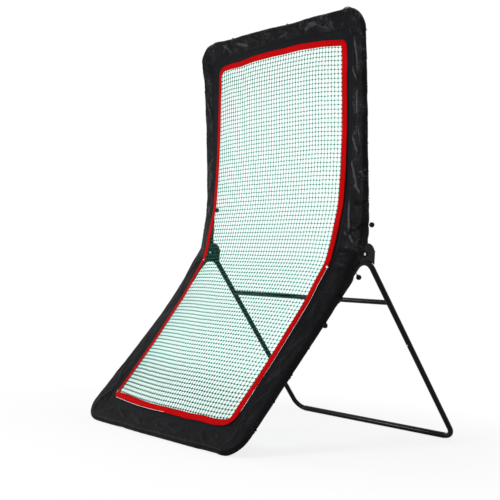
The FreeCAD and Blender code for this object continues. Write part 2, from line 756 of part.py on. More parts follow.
def elastic_loop(lift, edge, sheet):
    """One loop: from its ball through the slit, over the front and round the outer side."""
    half = size("strand_spacing") / 2
    ball_r = size("ball_diameter") / 2
    cord_r = size("loop_diameter") / 2
    start = ball_height() + math.sqrt(ball_r ** 2 - half ** 2) + cord_r / 2 + size("seam_gap")
    # Behind the tube, each strand leaves the round of the wrap along a tangent to the ball.
    drop = start + size("back_slack")
    touch = math.atan2(drop, half) + math.acos(LOOP_REACH / math.hypot(drop, half))
    shoulder = -size("back_slack") + LOOP_REACH * math.tan(touch / 2)
    rise = size("loop_clearance") + cord_r
    bend = size("loop_bend")
    outline = [(-half, start), (-LOOP_REACH, shoulder), (-LOOP_REACH, sheet + rise),
               (LOOP_REACH, edge + rise), (LOOP_REACH, shoulder), (half, start)]
    path = rounded_path([lift(*p) for p in outline], [LOOP_REACH, bend, WRAP_R, LOOP_REACH])
    heading = path.Edges[0].tangentAt(path.Edges[0].FirstParameter)
    circle = Part.Circle(lift(*outline[0]), heading, cord_r)
    return path.makePipeShell([Part.Wire([circle.toShape()])], True, False)


def loops_and_balls(word, frame, side_loops, bar_loops):
    """All elastic loops of one frame as a node, and their balls as another."""
    loops, balls = [], []
    ball_r = size("ball_diameter") / 2
    for side in (LEFT, RIGHT):
        for along in side_loops:
            def lift(out, height, at=along, hand=side):
                return frame.point(hand * (HALF_WIDTH + out), at, height)
            loops.append(elastic_loop(lift, edge_height(along), sheet_height(along, LOOP_REACH)))
            balls.append(Part.makeSphere(ball_r, lift(0, ball_height())))
    for x in bar_loops:
        def lift(out, height, at=x):
            return frame.point(at, FRAME_LENGTH + out, height)
        loops.append(elastic_loop(lift, WRAP_R, WRAP_R))
        balls.append(Part.makeSphere(ball_r, lift(0, ball_height())))
    soft(f"{word}_elastic_loops", Part.makeCompound(loops))
    soft(f"{word}_elastic_balls", Part.makeCompound(balls))


def evenly(first, last, spacing):
    """Places from first on, a spacing apart, none past last."""
    return [first + k * spacing for k in range(int((last - first) / spacing) + 1)]


# Assembly

def build_frames():
    end_bar("lower_bottom_bar", LOWER, "frame_length", "corner_radius")
    end_bar("upper_top_bar", UPPER, "frame_length", "corner_radius")
    end_bar("ground_bar", REAR, "rear_length", "rear_corner_radius")
    jointed_legs()
    upper_legs()
    crossbar()
    for word, side in SIDES.items():
        arch_tube(f"arch_tube_{word}", side)
        for name, place in button_places(side).items():
            snap_button(f"{name}_snap_button_{word}", place)
            snap_spring(f"{name}_snap_spring_{word}", place)


def build_hinges():
    for word, side in SIDES.items():
        bracket(f"hinge_bracket_{word}", side)
        knuckle(f"hinge_knuckle_{word}", side)
        clamp_at = clamp_direction(size("clamp_angle")) * size("clamp_radius")
        bolt_and_nut("pivot", word, side, Vector(), "fit_clearance")
        bolt_and_nut("clamp", word, side, clamp_at, "seam_gap")
        washers(f"hinge_washers_{word}", side)


def build_cover():
    straight_end = FRAME_LENGTH - size("corner_radius")
    upper_loops = [size("first_upper_loop")]
    upper_loops += evenly(size("second_upper_loop"), straight_end, size("upper_loop_spacing"))
    lower_loops = evenly(size("first_lower_loop"), straight_end, size("lower_loop_spacing"))
    bar_half = HALF_WIDTH - size("corner_radius")
    right_half = evenly(size("top_loop_spacing") / 2, bar_half, size("top_loop_spacing"))
    top_loops = [-x for x in reversed(right_half)] + right_half
    for word, end, frame, side_loops, bar_loops in (("upper", "top", UPPER, upper_loops, top_loops),
                                                    ("lower", "bottom", LOWER, lower_loops, [])):
        end_border(f"{word}_cover_{end}", frame, side_loops, bar_loops)
        for hand, side in SIDES.items():
            side_border(f"{word}_cover_{hand}", frame, side, side_loops)
        net_panel(f"{word}_net", frame)
        webbing(f"{word}_webbing", frame)
        loops_and_balls(word, frame, side_loops, bar_loops)


def check_parts():
    """Stops on any object that failed to compute, and on any sub-part without a valid solid."""
    for obj in doc.Objects:
        if any(state in obj.State for state in ("Invalid", "Error")):
            raise RuntimeError(f"{obj.Name} failed: {obj.State}")
    for obj in parts:
        if obj.Shape.isNull() or not obj.Shape.isValid() or not obj.Shape.Solids:
            raise RuntimeError(f"{obj.Label} has no valid solid")


build_frames()
build_hinges()
build_cover()
doc.recompute()
check_parts()
os.makedirs("parts", exist_ok=True)
for part in parts:
    part.Shape.exportStep(f"parts/{part.Label}.step")
    print(part.Label, len(part.Shape.Solids), "solids,", round(part.Shape.Volume), "mm3")
print(len(parts), "nodes, rear angle", round(math.degrees(REAR_ANGLE), 2),
      "pivot at", round(PIVOT_Y, 2), round(PIVOT_Z, 2))
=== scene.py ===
import json
from functools import partial

import bpy
import numpy as np
from mathutils import Matrix, Vector


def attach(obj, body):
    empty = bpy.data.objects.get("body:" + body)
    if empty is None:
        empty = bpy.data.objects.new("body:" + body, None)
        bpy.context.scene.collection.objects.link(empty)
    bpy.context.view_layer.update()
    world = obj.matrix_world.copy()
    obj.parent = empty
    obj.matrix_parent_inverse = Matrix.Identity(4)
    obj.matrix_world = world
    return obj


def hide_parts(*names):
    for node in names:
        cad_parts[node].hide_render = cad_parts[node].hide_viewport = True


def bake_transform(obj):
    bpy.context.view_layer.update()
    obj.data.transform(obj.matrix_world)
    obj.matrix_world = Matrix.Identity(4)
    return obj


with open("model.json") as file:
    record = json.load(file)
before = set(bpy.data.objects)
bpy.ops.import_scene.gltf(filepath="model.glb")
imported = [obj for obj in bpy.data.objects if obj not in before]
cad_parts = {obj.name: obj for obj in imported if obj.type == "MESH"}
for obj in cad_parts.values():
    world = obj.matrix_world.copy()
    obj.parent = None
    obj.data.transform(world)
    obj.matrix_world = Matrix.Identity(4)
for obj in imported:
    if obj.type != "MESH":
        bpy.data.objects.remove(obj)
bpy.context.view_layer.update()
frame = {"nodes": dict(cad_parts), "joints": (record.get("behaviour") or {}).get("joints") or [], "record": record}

# Sizes are in metres. A place on the panel is x, from its middle to the right, and sigma, along the frames
# from the hinge, positive above it.

HALF_WIDTH = 0.605
FRAME_LENGTH = 1.180
CORNER_RADIUS = 0.095
LOWER_HEADING = np.radians(51)
UPPER_HEADING = np.radians(96.2)
HINGE = np.array(next(j["pos_m"] for j in frame["joints"] if j["name"] == "upper_frame_tilt"))

# Radius of the cloth round a tube, and how far it stands off behind
WRAP_R = 0.019
BACK_SLACK = 0.002
# The cloth's thickness, its least height over the floor, and the step between its sections
CLOTH_THICK = 0.0012
FLOOR_CLEAR = 0.0004
STATION_STEP = 0.00775

# Half the width and length of the net, to the webbing's middle, and of the cover's seam there
NET_HALF, NET_END = 0.492, 1.058
SEAM_HALF, SEAM_END = 0.490, 1.058
BAND_WIDTH, BAND_THICK = 0.032, 0.0016
PITCH_ALONG, PITCH_ACROSS = 0.0222, 0.0207
STRAND_R, KNOT_R = 0.0018, 0.0052


# Curves and the bent panel

def eased(share):
    """A smooth step from 0 to 1: three squares less two cubes of the share, held at both ends."""
    share = np.clip(share, 0, 1)
    return share * share * (3 - 2 * share)


def bump(distance, width):
    """A bell of height 1 and the given width: e to the minus square of distance over width."""
    return np.exp(-(distance / width) ** 2)


def unit(v):
    """Directions of length 1."""
    return v / np.maximum(np.linalg.norm(v, axis=-1, keepdims=True), 1e-12)


def travelled(points):
    """How far along a line each of its points lies."""
    return np.concatenate([[0], np.cumsum(np.linalg.norm(np.diff(points, axis=0), axis=1))])


def over(sigma, height):
    """Place beside the hinge, back and up, of a point at sigma along a frame and a height over its tubes."""
    heading = LOWER_HEADING if sigma < 0 else UPPER_HEADING
    return (sigma * np.cos(heading) - height * np.sin(heading),
            sigma * np.sin(heading) + height * np.cos(heading))


class Line:
    """A line up the panel: straight between its points, with corners rounded by averaging over a window.

    A point is sigma with its place back and up from the hinge, or with its height over the frame's tubes."""

    def __init__(self, window, *points):
        places = [point if len(point) == 3 else (point[0], *over(*point)) for point in points]
        self.sigma, *self.back_up = np.array(places).T
        self.window = window

    def __call__(self, sigma):
        """Back and up at sigma: a mean over the window, weighed by the square of a cosine."""
        offsets = np.linspace(-1, 1, 9)
        weights = np.cos(offsets * np.pi / 2.2) ** 2
        at = np.asarray(sigma)[..., None] + offsets * self.window
        return np.stack([np.interp(at, self.sigma, values) @ (weights / weights.sum())
                         for values in self.back_up], -1)


# The lines of the net, and of the cover over and behind the tubes. Near the hinge they cut the corner.
NET_LINE = Line(0.07, (-1.3, .018), (-0.70, .024), (-0.355, -.256, -.253), (-0.243, -.198, -.156),
                (-0.123, -.134, -.055), (0.062, -.111, .050), (0.159, -.094, .150), (0.257, -.078, .250),
                (0.404, -.077, .398), (0.55, -.080, .545), (0.70, .017), (1.3, .014))
FRONT_LINE = Line(0.025, (-1.3, .019), (-0.5, .019), (-0.368, -.252, -.270), (-0.252, -.188, -.173),
                  (-0.147, -.138, -.078), (0, -.076, .018), (0.118, -.065, .112), (0.211, -.056, .206),
                  (0.304, .021), (0.5, .019), (1.3, .019))
BACK_LINE = Line(0.016, (-1.3, -BACK_SLACK), (-0.160, -BACK_SLACK), (-0.125, -.094, -.088),
                 (-0.108, -.088, -.068), (-0.080, -.070, -.053), (-0.035, -.039, -.022), (0, -.033, 0),
                 (0.025, -.031, .025), (0.060, -.017, .055), (0.095, -BACK_SLACK), (1.3, -BACK_SLACK))


def place(x, line, sigma):
    """A point on one of the panel's lines, in the frame of the object."""
    x, sigma = np.broadcast_arrays(x, sigma)
    back_up = line(sigma)
    return np.stack([x, HINGE[1] + back_up[..., 0], HINGE[2] + back_up[..., 1]], -1)


def outward_normal(sigma):
    """Which way the panel faces: from its back line to its front line."""
    return unit(place(0.0, FRONT_LINE, sigma) - place(0.0, BACK_LINE, sigma))


# The way round the frame: s is the distance along the tubes from the right hinge, over the top and back

SIDE_RUN = FRAME_LENGTH - CORNER_RADIUS
CORNER_RUN = CORNER_RADIUS * np.pi / 2
QUARTER_RUN = SIDE_RUN + CORNER_RUN + HALF_WIDTH - CORNER_RADIUS
ROUND_RUN = 4 * QUARTER_RUN


def round_from(s, at):
    """The shorter way round from a place to s, with its sign."""
    return np.mod(s - at + ROUND_RUN / 2, ROUND_RUN) - ROUND_RUN / 2


def quarter_run(s):
    """How far from the nearer hinge s lies, and the signs of x and of sigma in its quarter."""
    turn = np.mod(s, ROUND_RUN)
    run = QUARTER_RUN - np.abs(np.mod(turn, 2 * QUARTER_RUN) - QUARTER_RUN)
    x_sign = np.where((turn < QUARTER_RUN) | (turn > 3 * QUARTER_RUN), 1.0, -1.0)
    return run, x_sign, np.where(turn < 2 * QUARTER_RUN, 1.0, -1.0)


def tube_route(s):
    """The tubes' centre line: x, sigma and the outward direction in both."""
    run, x_sign, sigma_sign = quarter_run(s)
    angle = np.clip((run - SIDE_RUN) / CORNER_RADIUS, 0, np.pi / 2)
    x = HALF_WIDTH - CORNER_RADIUS * (1 - np.cos(angle)) - np.clip(run - SIDE_RUN - CORNER_RUN, 0, None)
    sigma = np.minimum(run, SIDE_RUN) + CORNER_RADIUS * np.sin(angle)
    return x * x_sign, sigma * sigma_sign, np.cos(angle) * x_sign, np.sin(angle) * sigma_sign


def direction(sigma, out_x, out_sigma):
    """A direction in the plane of a frame, from its parts across and along."""
    heading = np.where(sigma < 0, LOWER_HEADING, UPPER_HEADING)
    return np.stack([out_x, out_sigma * np.cos(heading), out_sigma * np.sin(heading)], -1)


# How far the middle of the red band lies from the panel's middle, at places along the sides and the bars
SIDE_PLACES = [-1.06, -0.80, -0.50, -0.25, 0.00, 0.20, 0.45, 0.65, 0.85, 1.06]
LEFT_SIDE = [0.454, 0.461, 0.474, 0.484, 0.489, 0.489, 0.489, 0.484, 0.471, 0.461]
RIGHT_SIDE = [0.488, 0.486, 0.487, 0.486, 0.492, 0.501, 0.500, 0.501, 0.505, 0.506]
SIDE_WINDOW = 0.06
END_PLACES = [-0.49, -0.38, -0.29, -0.20, -0.08, 0.10, 0.25, 0.34, 0.41, 0.49]
TOP_END = [1.029, 1.042, 1.042, 1.052, 1.055, 1.058, 1.057, 1.052, 1.043, 1.032]
BOTTOM_END = [1.042, 1.050, 1.057, 1.061, 1.063, 1.062, 1.065, 1.064, 1.063, 1.052]
END_WINDOW = 0.03


def shared(at, places, low, high, share, window):
    """Two rows of values, read between places, averaged over a window and shared from low to high."""
    offsets = np.linspace(-1, 1, 7) * window
    read = [np.mean([np.interp(at + offset, places, values) for offset in offsets], axis=0)
            for values in (low, high)]
    return read[0] * (1 - share) + read[1] * share


def fitted(x, sigma):
    """Carries a point of the net's plain rectangle onto the panel as it was sewn, here wider, there shorter.

    Across, the point is stretched to the half widths of the two sides, shared by how far across it lies;
    along, to the lengths of the two ends, shared by how far up it lies."""
    half = shared(sigma, SIDE_PLACES, LEFT_SIDE, RIGHT_SIDE, (x / NET_HALF + 1) / 2, SIDE_WINDOW)
    end = shared(x, END_PLACES, BOTTOM_END, TOP_END, (sigma / NET_END + 1) / 2, END_WINDOW)
    return x * half / NET_HALF, sigma * end / NET_END


# The seam's clipped corners: how far before and past a tube's bend they reach, and how far in the seam lies
# beside the bend's middle, its end and the place past it
SEAM_CLIP = 0.12
CLIP_MIDDLE, CLIP_END, CLIP_PAST = 0.007, 0.024, 0.099


def seam_route(s):
    """The line of the net's seam abreast of each place on the tubes: a rectangle with clipped corners."""
    run, x_sign, sigma_sign = quarter_run(s)
    before, bar_start = SIDE_RUN - SEAM_CLIP, SIDE_RUN + CORNER_RUN
    runs = [0, before, SIDE_RUN, SIDE_RUN + CORNER_RUN / 2, bar_start, bar_start + SEAM_CLIP, QUARTER_RUN]
    xs = [SEAM_HALF] * 3 + [SEAM_HALF - cut for cut in (CLIP_MIDDLE, CLIP_END, CLIP_PAST)] + [0]
    sigmas = [0, before, SEAM_END - CLIP_END, SEAM_END - CLIP_MIDDLE, SEAM_END, SEAM_END, SEAM_END]
    return fitted(np.interp(run, runs, xs) * x_sign, np.interp(run, runs, sigmas) * sigma_sign)


def cloth_noise(s, across, length, width, seed):
    """Smooth random heights from -1 to 1: random values in cells length by width, joined by cubic steps."""
    cells = max(int(round(ROUND_RUN / length)), 1)
    u, v = np.mod(s, ROUND_RUN) / ROUND_RUN * cells, across / width
    i, j = np.floor(u).astype(int), np.floor(v).astype(int)
    grid = np.random.default_rng(seed).uniform(-1, 1, (cells, j.max() - j.min() + 2))
    du, dv = eased(u - i), eased(v - j)
    low, high = (grid[i % cells, row] * (1 - du) + grid[(i + 1) % cells, row] * du
                 for row in (j - j.min(), j - j.min() + 1))
    return low * (1 - dv) + high * dv


# Meshes

def grid_faces(rows, columns, close_rows=False, close_columns=False):
    """Corner numbers of the quads of a grid, whose rows or columns may close round."""
    r = np.arange(rows if close_rows else rows - 1)[:, None]
    c = np.arange(columns if close_columns else columns - 1)[None, :]
    r2, c2 = (r + 1) % rows, (c + 1) % columns
    corners = [r * columns + c, r * columns + c2, r2 * columns + c2, r2 * columns + c]
    return np.stack(np.broadcast_arrays(*corners), -1).reshape(-1, 4)


def halved(quads):
    """Each quad as two triangles."""
    return np.concatenate([quads[:, [0, 1, 2]], quads[:, [0, 2, 3]]])


def capped_tube(rings, sides):
    """Triangles of a tube of rings of points, closed at each end by a fan to a point that follows them."""
    first, last = np.arange(sides), np.arange(sides) + (rings - 1) * sides
    pole = np.full(sides, rings * sides)
    return np.concatenate([halved(grid_faces(rings, sides, close_columns=True)),
                           np.stack([np.roll(first, -1), first, pole], -1),
                           np.stack([last, np.roll(last, -1), pole + 1], -1)])


def new_mesh(name, material, points, faces, uv=None, round_trip=None):
    """A mesh object from arrays of points and of faces, with an optional UV place for each point.

    Where the UV map runs once round a closed piece, round_trip is that length: a face across its start gets
    the places that go on past the end."""
    mesh = bpy.data.meshes.new(name)
    points = np.asarray(points, np.float32).reshape(-1, 3)
    mesh.vertices.add(len(points))
    mesh.vertices.foreach_set("co", points.ravel())
    mesh.loops.add(faces.size)
    mesh.loops.foreach_set("vertex_index", faces.astype(np.int32).ravel())
    mesh.polygons.add(len(faces))
    mesh.polygons.foreach_set("loop_start", np.arange(0, faces.size, faces.shape[1], dtype=np.int32))
    mesh.polygons.foreach_set("use_smooth", np.full(len(faces), True))
    if uv is not None:
        corners = np.asarray(uv, np.float32).reshape(-1, 2)[faces]
        if round_trip:
            along = corners[..., 0]
            along[along.max(axis=1, keepdims=True) - along > round_trip / 2] += round_trip
        mesh.uv_layers.new(name="UVMap").data.foreach_set("uv", corners.ravel())
    mesh.update(calc_edges=True)
    mesh.validate()
    mesh.materials.append(material)
    obj = bpy.data.objects.new(name, mesh)
    bpy.context.scene.collection.objects.link(obj)
    return obj


def merged(name, material, pieces):
    """One mesh from many: each piece is its points, faces and, if it has them, UV places."""
    starts = np.concatenate([[0], np.cumsum([len(p[0]) for p in pieces])[:-1]])
    points = np.concatenate([p[0] for p in pieces])
    faces = np.concatenate([p[1] + start for p, start in zip(pieces, starts)])
    uv = np.concatenate([p[2] for p in pieces]) if len(pieces[0]) > 2 else None
    return new_mesh(name, material, points, faces, uv)


# Materials

def srgb(code):
    """A linear colour from an sRGB hex code."""
    value = np.array([int(code[k:k + 2], 16) for k in (1, 3, 5)]) / 255
    linear = np.where(value <= 0.04045, value / 12.92, ((value + 0.055) / 1.055) ** 2.4)
    return (*linear, 1.0)


def feed(tree, socket, source):
    """Gives an input a link from a socket, a colour by its hex code, or a value."""
    if isinstance(source, bpy.types.NodeSocket):
        tree.links.new(source, socket)
    else:
        socket.default_value = srgb(source) if isinstance(source, str) else source


def add(tree, kind, *inputs, take=None, **named):
    """Adds a node, sets its properties, and feeds its inputs, in order or by name.

    It returns the node's first output, or the one that is to be taken."""
    node = tree.nodes.new("ShaderNode" + kind)
    for name in [name for name in named if hasattr(node, name)]:
        setattr(node, name, named.pop(name))
    for socket, source in zip([socket for socket in node.inputs if socket.enabled], inputs):
        feed(tree, socket, source)
    for name, source in named.items():
        feed(tree, node.inputs[name.replace("_", " ")], source)
    return next(socket for socket in node.outputs if socket.enabled and take in (None, socket.name))


def new_material(name):
    """A material, and the function that adds a node to its tree."""
    material = bpy.data.materials.new(name)
    material.use_nodes = True
    return material, partial(add, material.node_tree)


def surfaced(material, mixed=None, **named):
    """Feeds a material's Principled surface by the names of its inputs.

    Where the material is a mix of that surface with another, mixed makes the mix from it."""
    tree = material.node_tree
    surface = tree.nodes["Principled BSDF"]
    for name, source in named.items():
        feed(tree, surface.inputs[name.replace("_", " ")], source)
    if mixed:
        feed(tree, tree.nodes["Material Output"].inputs["Surface"], mixed(surface.outputs[0]))
    return material


def stitches(node, uv, across, length, width):
    """A row of stitches along a line of the UV map: 1 on the thread, 0 beside it and in the gaps between."""
    step = node("Math", node("SeparateXYZ", uv, take="X"), length, operation="PINGPONG")
    on_stitch = node("Math", step, length * 0.35, operation="GREATER_THAN")
    near_line = node("Math", node("SeparateXYZ", uv, take="Y"), across, width, operation="COMPARE")
    return node("Math", on_stitch, near_line, operation="MULTIPLY")


def oxford_cloth():
    """Coated polyester oxford, plain weave: black, with grey highlights painted along its folds and painted dark
    shade in its grooves.
    """
    material, node = new_material("coated_oxford_cloth")
    uv = node("TexCoord", take="UV")
    ridge, slack, pressed = (node("Attribute", take="Fac", attribute_name=name)
                             for name in ("ridge", "slack", "pressed"))
    # One noise gives the cloth a random tone and picks the patches where crease highlights are painted.
    tone_and_painted_light = node("TexNoise", uv, 9.0, 4.0, 0.6)
    cloth = node("Mix", node("MapRange", tone_and_painted_light, 0.3, 0.7), "#08080a", "#111113", data_type="RGBA")
    # A grey highlight is painted along the ridges of the folds, broken up by noise.
    ragged = node("Math", ridge, node("TexNoise", uv, 70.0, 3.0), operation="MULTIPLY")
    painted_highlight = node("MapRange", ragged, 0.05, 0.50)
    # Thin grey lines, painted highlights of fine creases, wander where two tones of a distorted noise meet, in
    # patches where the cloth is slack.
    wander = node("TexNoise", uv, 34.0, 1.5, Distortion=1.4)
    off_middle = node("Math", node("Math", wander, 0.5, operation="SUBTRACT"), operation="ABSOLUTE")
    patch = node("Math", node("MapRange", tone_and_painted_light, 0.46, 0.60), slack, operation="MULTIPLY")
    crease_highlight = node("Math", node("MapRange", off_middle, 0.035, 0.0, 0.0, 0.8), patch, operation="MULTIPLY")
    # Both painted highlights lift the cloth's colour towards grey.
    grey = node("Math", painted_highlight, crease_highlight, operation="MAXIMUM")
    outer = node("Mix", grey, cloth, "#46464a", data_type="RGBA")
    # The strip beside the webbing is a second, smoother cloth with a cold tint, sewn on in one row.
    across = node("SeparateXYZ", uv, take="Y")
    past_strip = node("MapRange", across, STRIP_ACROSS - 0.001, STRIP_ACROSS + 0.001)
    both = node("Mix", past_strip, "#0b0e11", outer, data_type="RGBA")
    thread = stitches(node, uv, STRIP_ACROSS - 0.003, 0.0048, 0.0006)
    # The stitches are dark thread; the crease and the front loops' grooves are painted near black as shade.
    dark = node("Math", thread, pressed, operation="MAXIMUM")
    # Threads 0.6 mm apart are drawn 2.4 mm apart, as coarse as they need to show.
    warp, weft = (node("TexWave", uv, 130.0, 0.6, take="Fac", bands_direction=way) for way in "XY")
    weave = node("Math", warp, weft, operation="MULTIPLY")
    woven = node("Bump", Height=weave, Strength=0.25, Distance=0.0004)
    crumple = node("TexNoise", uv, 55.0, 5.0, 0.62, Distortion=0.8)
    return surfaced(material, Roughness=0.42, IOR=1.5, Specular_IOR_Level=0.035,
                    Base_Color=node("Mix", dark, both, "#020203", data_type="RGBA"),
                    Normal=node("Bump", Height=crumple, Strength=0.45, Distance=0.003, Normal=woven))


def red_webbing():
    """Woven polypropylene webbing: deep bright red, with ribs across and a stitched line along each edge."""
    material, node = new_material("woven_webbing")
    uv = node("TexCoord", take="UV")
    # Ribs 1.5 mm apart are drawn 4 mm apart, as coarse as they need to show.
    ribs = node("TexWave", uv, 80.0, 0.3, take="Fac", bands_direction="X")
    warp = node("TexWave", uv, 160.0, take="Fac", bands_direction="Y")
    weave = node("Math", ribs, warp, operation="MULTIPLY")
    shade = node("Math", weave, node("TexNoise", uv, 6.0, 3.0), operation="ADD")
    woven = node("Mix", node("MapRange", shade, 0.3, 1.3), "#920003", "#be0003", data_type="RGBA")
    row = BAND_WIDTH / 2 - 0.0032
    rows = node("Math", *(stitches(node, uv, at, 0.004, 0.0005) for at in (row, -row)), operation="MAXIMUM")
    return surfaced(material, Roughness=0.65, IOR=1.49, Specular_IOR_Level=0.03,
                    Base_Color=node("Mix", rows, woven, "#7d0508", data_type="RGBA"),
                    Normal=node("Bump", Height=weave, Strength=0.5, Distance=0.0005))


def net_yarn():
    """Knotted polyethylene twine: sea green, dark and dense in the knots, open between them.

    Along the strands the loose filaments let light past, tinted green by those in its way."""
    material, node = new_material("polyethylene_twine")
    knot = node("SeparateXYZ", node("TexCoord", take="UV"), take="X")
    dense = node("MapRange", knot, 0.0, 1.0, 0.08)
    twist = node("TexNoise", node("TexCoord", take="Object"), 900.0, 2.0)
    clear = node("BsdfTransparent", "#b4f9ee")
    return surfaced(material, lambda solid: node("MixShader", dense, clear, solid),
                    Roughness=0.5, IOR=1.5, Specular_IOR_Level=0.1,
                    Base_Color=node("Mix", knot, "#6fd3b6", "#0d4438", data_type="RGBA"),
                    Normal=node("Bump", Height=twist, Strength=0.5, Distance=0.0005))


def hard_finish(name, colours, gloss, shade, grain, strength, depth, **surface):
    """A hard skin: one noise (scale, detail) shades it and moves its gloss, and another raises its grain."""
    material, node = new_material(name)
    place_of = node("TexCoord", take="Object")
    tone = node("TexNoise", place_of, *shade)
    peel = node("TexNoise", place_of, *grain)
    return surfaced(material, Base_Color=node("Mix", tone, *colours, data_type="RGBA"),
                    Roughness=node("MapRange", tone, 0.0, 1.0, *gloss),
                    Normal=node("Bump", Height=peel, Strength=strength, Distance=depth), **surface)


def powder_coat(name, *colours):
    """Steel under a powder coat: an even semi-gloss skin with a fine orange-peel surface."""
    return hard_finish(name, colours, (0.10, 0.24), (14.0, 4.0), (420.0, 3.0), 0.07, 0.0006,
                       IOR=1.5, Specular_IOR_Level=0.14)


def plated_steel(name, roughness, *colours):
    """Bare metal finish of small hardware: turned marks, and duller patches where it was handled."""
    marks = (600.0, 4.0)
    return hard_finish(name, colours, (roughness - 0.08, roughness + 0.10), marks, marks, 0.15, 0.0003,
                       Metallic=1.0)


def moulded(name, roughness, grain, *colours):
    """Injection moulded plastic: an even colour with a spark-eroded grain of the given size."""
    speck = (1 / grain, 2.0)
    return hard_finish(name, colours, (roughness - 0.05, roughness + 0.05), speck, speck, 0.15, grain / 6,
                       IOR=1.46, Specular_IOR_Level=0.1)


def braided_cord(name, *colours):
    """A braided textile cord: slanted threads."""
    material, node = new_material(name)
    uv = node("TexCoord", take="UV")
    braid = node("TexWave", uv, 150.0, 0.4, take="Fac", bands_direction="DIAGONAL")
    return surfaced(material, Roughness=0.7, IOR=1.5, Specular_IOR_Level=0.05,
                    Base_Color=node("Mix", braid, *colours, data_type="RGBA"),
                    Normal=node("Bump", Height=braid, Strength=0.5, Distance=0.0004))


# The cover's own measure across: 0 at the net's seam, then the inner strip's seam and the tube's crown
STRIP_ACROSS, CROWN_ACROSS = 0.052, 0.117

CLOTH = oxford_cloth()
WEBBING = red_webbing()
TWINE = net_yarn()
ELASTIC = braided_cord("braided_elastic_cord", "#050506", "#0e0e0f")
PIPING = braided_cord("white_edge_cord", "#eceeec", "#ffffff")
BALL = moulded("glossy_polypropylene", 0.22, 0.004, "#060607", "#0e0e0f")
HARDWARE = {
    "powder_coated_steel": powder_coat("black_powder_coat", "#020203", "#050607"),
    "blackened_steel": plated_steel("black_oxide_steel", 0.42, "#141416", "#2a2a2e"),
    "zinc_plated_steel": plated_steel("bright_zinc_plate", 0.28, "#b4b7bb", "#dcdee0"),
    "spring_steel": plated_steel("blued_spring_steel", 0.30, "#4b4f5a", "#7b808c"),
    "moulded_nylon": moulded("glass_filled_nylon", 0.50, 0.0012, "#0b0b0c", "#151517"),
}


def finish_hardware():
    """Gives every rigid piece of the frame the finish of its slot."""
    slot_of = {part["node"]: part["material_slot"] for part in frame["record"]["subparts"]}
    for node, obj in frame["nodes"].items():
        if slot_of[node] in HARDWARE:
            obj.data.materials.clear()
            obj.data.materials.append(HARDWARE[slot_of[node]])


# The cloth cover

SIDE_LOOPS_UPPER = [0.140] + [0.263 + 0.136 * k for k in range(7)]
SIDE_LOOPS_LOWER = [0.119 + 0.1535 * k for k in range(7)]
BAR_LOOPS = [0.075, 0.225, 0.375]
# The two loops above the right hinge go round to the cover's front, and the others come out at its side.
# Each of the two has slipped this far down at the tube's side, and slopes down by this much from there in.
FRONT_LOOPS = {SIDE_LOOPS_UPPER[0]: (0.016, 0.34), SIDE_LOOPS_UPPER[1]: (0.020, 0.0)}
SLIP_ARC, SLOPE_ARC = 0.018, 0.06


def front_slip(at, arc):
    """How far down a front loop lies, at a distance over the tube from its side."""
    slip, slope = FRONT_LOOPS[at]
    return slip * eased(arc / SLIP_ARC) + slope * np.clip(arc - SLIP_ARC, 0, SLOPE_ARC)


def loop_places():
    """How far round the frame each elastic loop sits."""
    places = SIDE_LOOPS_UPPER + [2 * QUARTER_RUN - r for r in SIDE_LOOPS_UPPER]
    places += [ROUND_RUN - r for r in SIDE_LOOPS_LOWER] + [2 * QUARTER_RUN + r for r in SIDE_LOOPS_LOWER]
    places += [QUARTER_RUN + sign * x for x in BAR_LOOPS for sign in (-1, 1)]
    return sorted(places)


FRONT_ACROSS = np.concatenate([np.linspace(0, 0.046, 7, endpoint=False),
                               np.linspace(0.046, 0.058, 5, endpoint=False),
                               np.linspace(0.058, CROWN_ACROSS, 20, endpoint=False)])
ROUND_COLUMNS, SIDE_COLUMNS, FLAP_COLUMNS = 7, 4, 3
FLAP_WIDTH, FLAP_LEAST = 0.012, 0.001
# How much closer to the tube the cloth lies on the left side
LEFT_TIGHT = 0.0042
# Behind the hinges the cloth is cut away: where, how far along, how fully, and the radius left
HINGE_CUT, HINGE_CUT_WIDTH, HINGE_CUT_SHARE, HINGE_CUT_R = -0.03, 0.10, 1.6, 0.003
# Fuller places of the top left corner: how far round the frame, how far they stand out, and their width
CORNER_POCKET = [(QUARTER_RUN + 0.505, 0.004, 0.030), (QUARTER_RUN + 0.575, 0.009, 0.028),
                 (2 * QUARTER_RUN - 1.115, 0.017, 0.045), (2 * QUARTER_RUN - 1.045, 0.010, 0.040)]
# The section's column from which a pocket grows, and the depth of the small waves at the corners
POCKET_COLUMN = 12
CORNER_WAVE = 0.0032
# The inner strip's share of the front of the border, at places from the hinge up: a third beside the hinge,
# half by the top corners and less along the top bar. Below the hinge it grows evenly.
STRIP_RUNS = [0, 0.17, 0.31, 0.50, 0.75, 0.94, 1.09, 1.30, QUARTER_RUN]
STRIP_SHARES = [0.35, 0.34, 0.36, 0.44, 0.49, 0.53, 0.50, 0.42, 0.41]
LOWER_SHARE, LOWER_GROWTH = 0.35, 0.05


def strip_share(s):
    """The inner strip's share of the front of the border."""
    run, _, sigma_sign = quarter_run(s)
    lower = LOWER_SHARE + LOWER_GROWTH * eased(run / QUARTER_RUN)
    return np.where(sigma_sign > 0, np.interp(run, STRIP_RUNS, STRIP_SHARES), lower)


def left_share(x, sigma):
    """1 along the left side, fading to 0 towards its corners and the panel's middle."""
    return eased(-x / 0.3) * eased((0.98 - np.abs(sigma)) / 0.3)


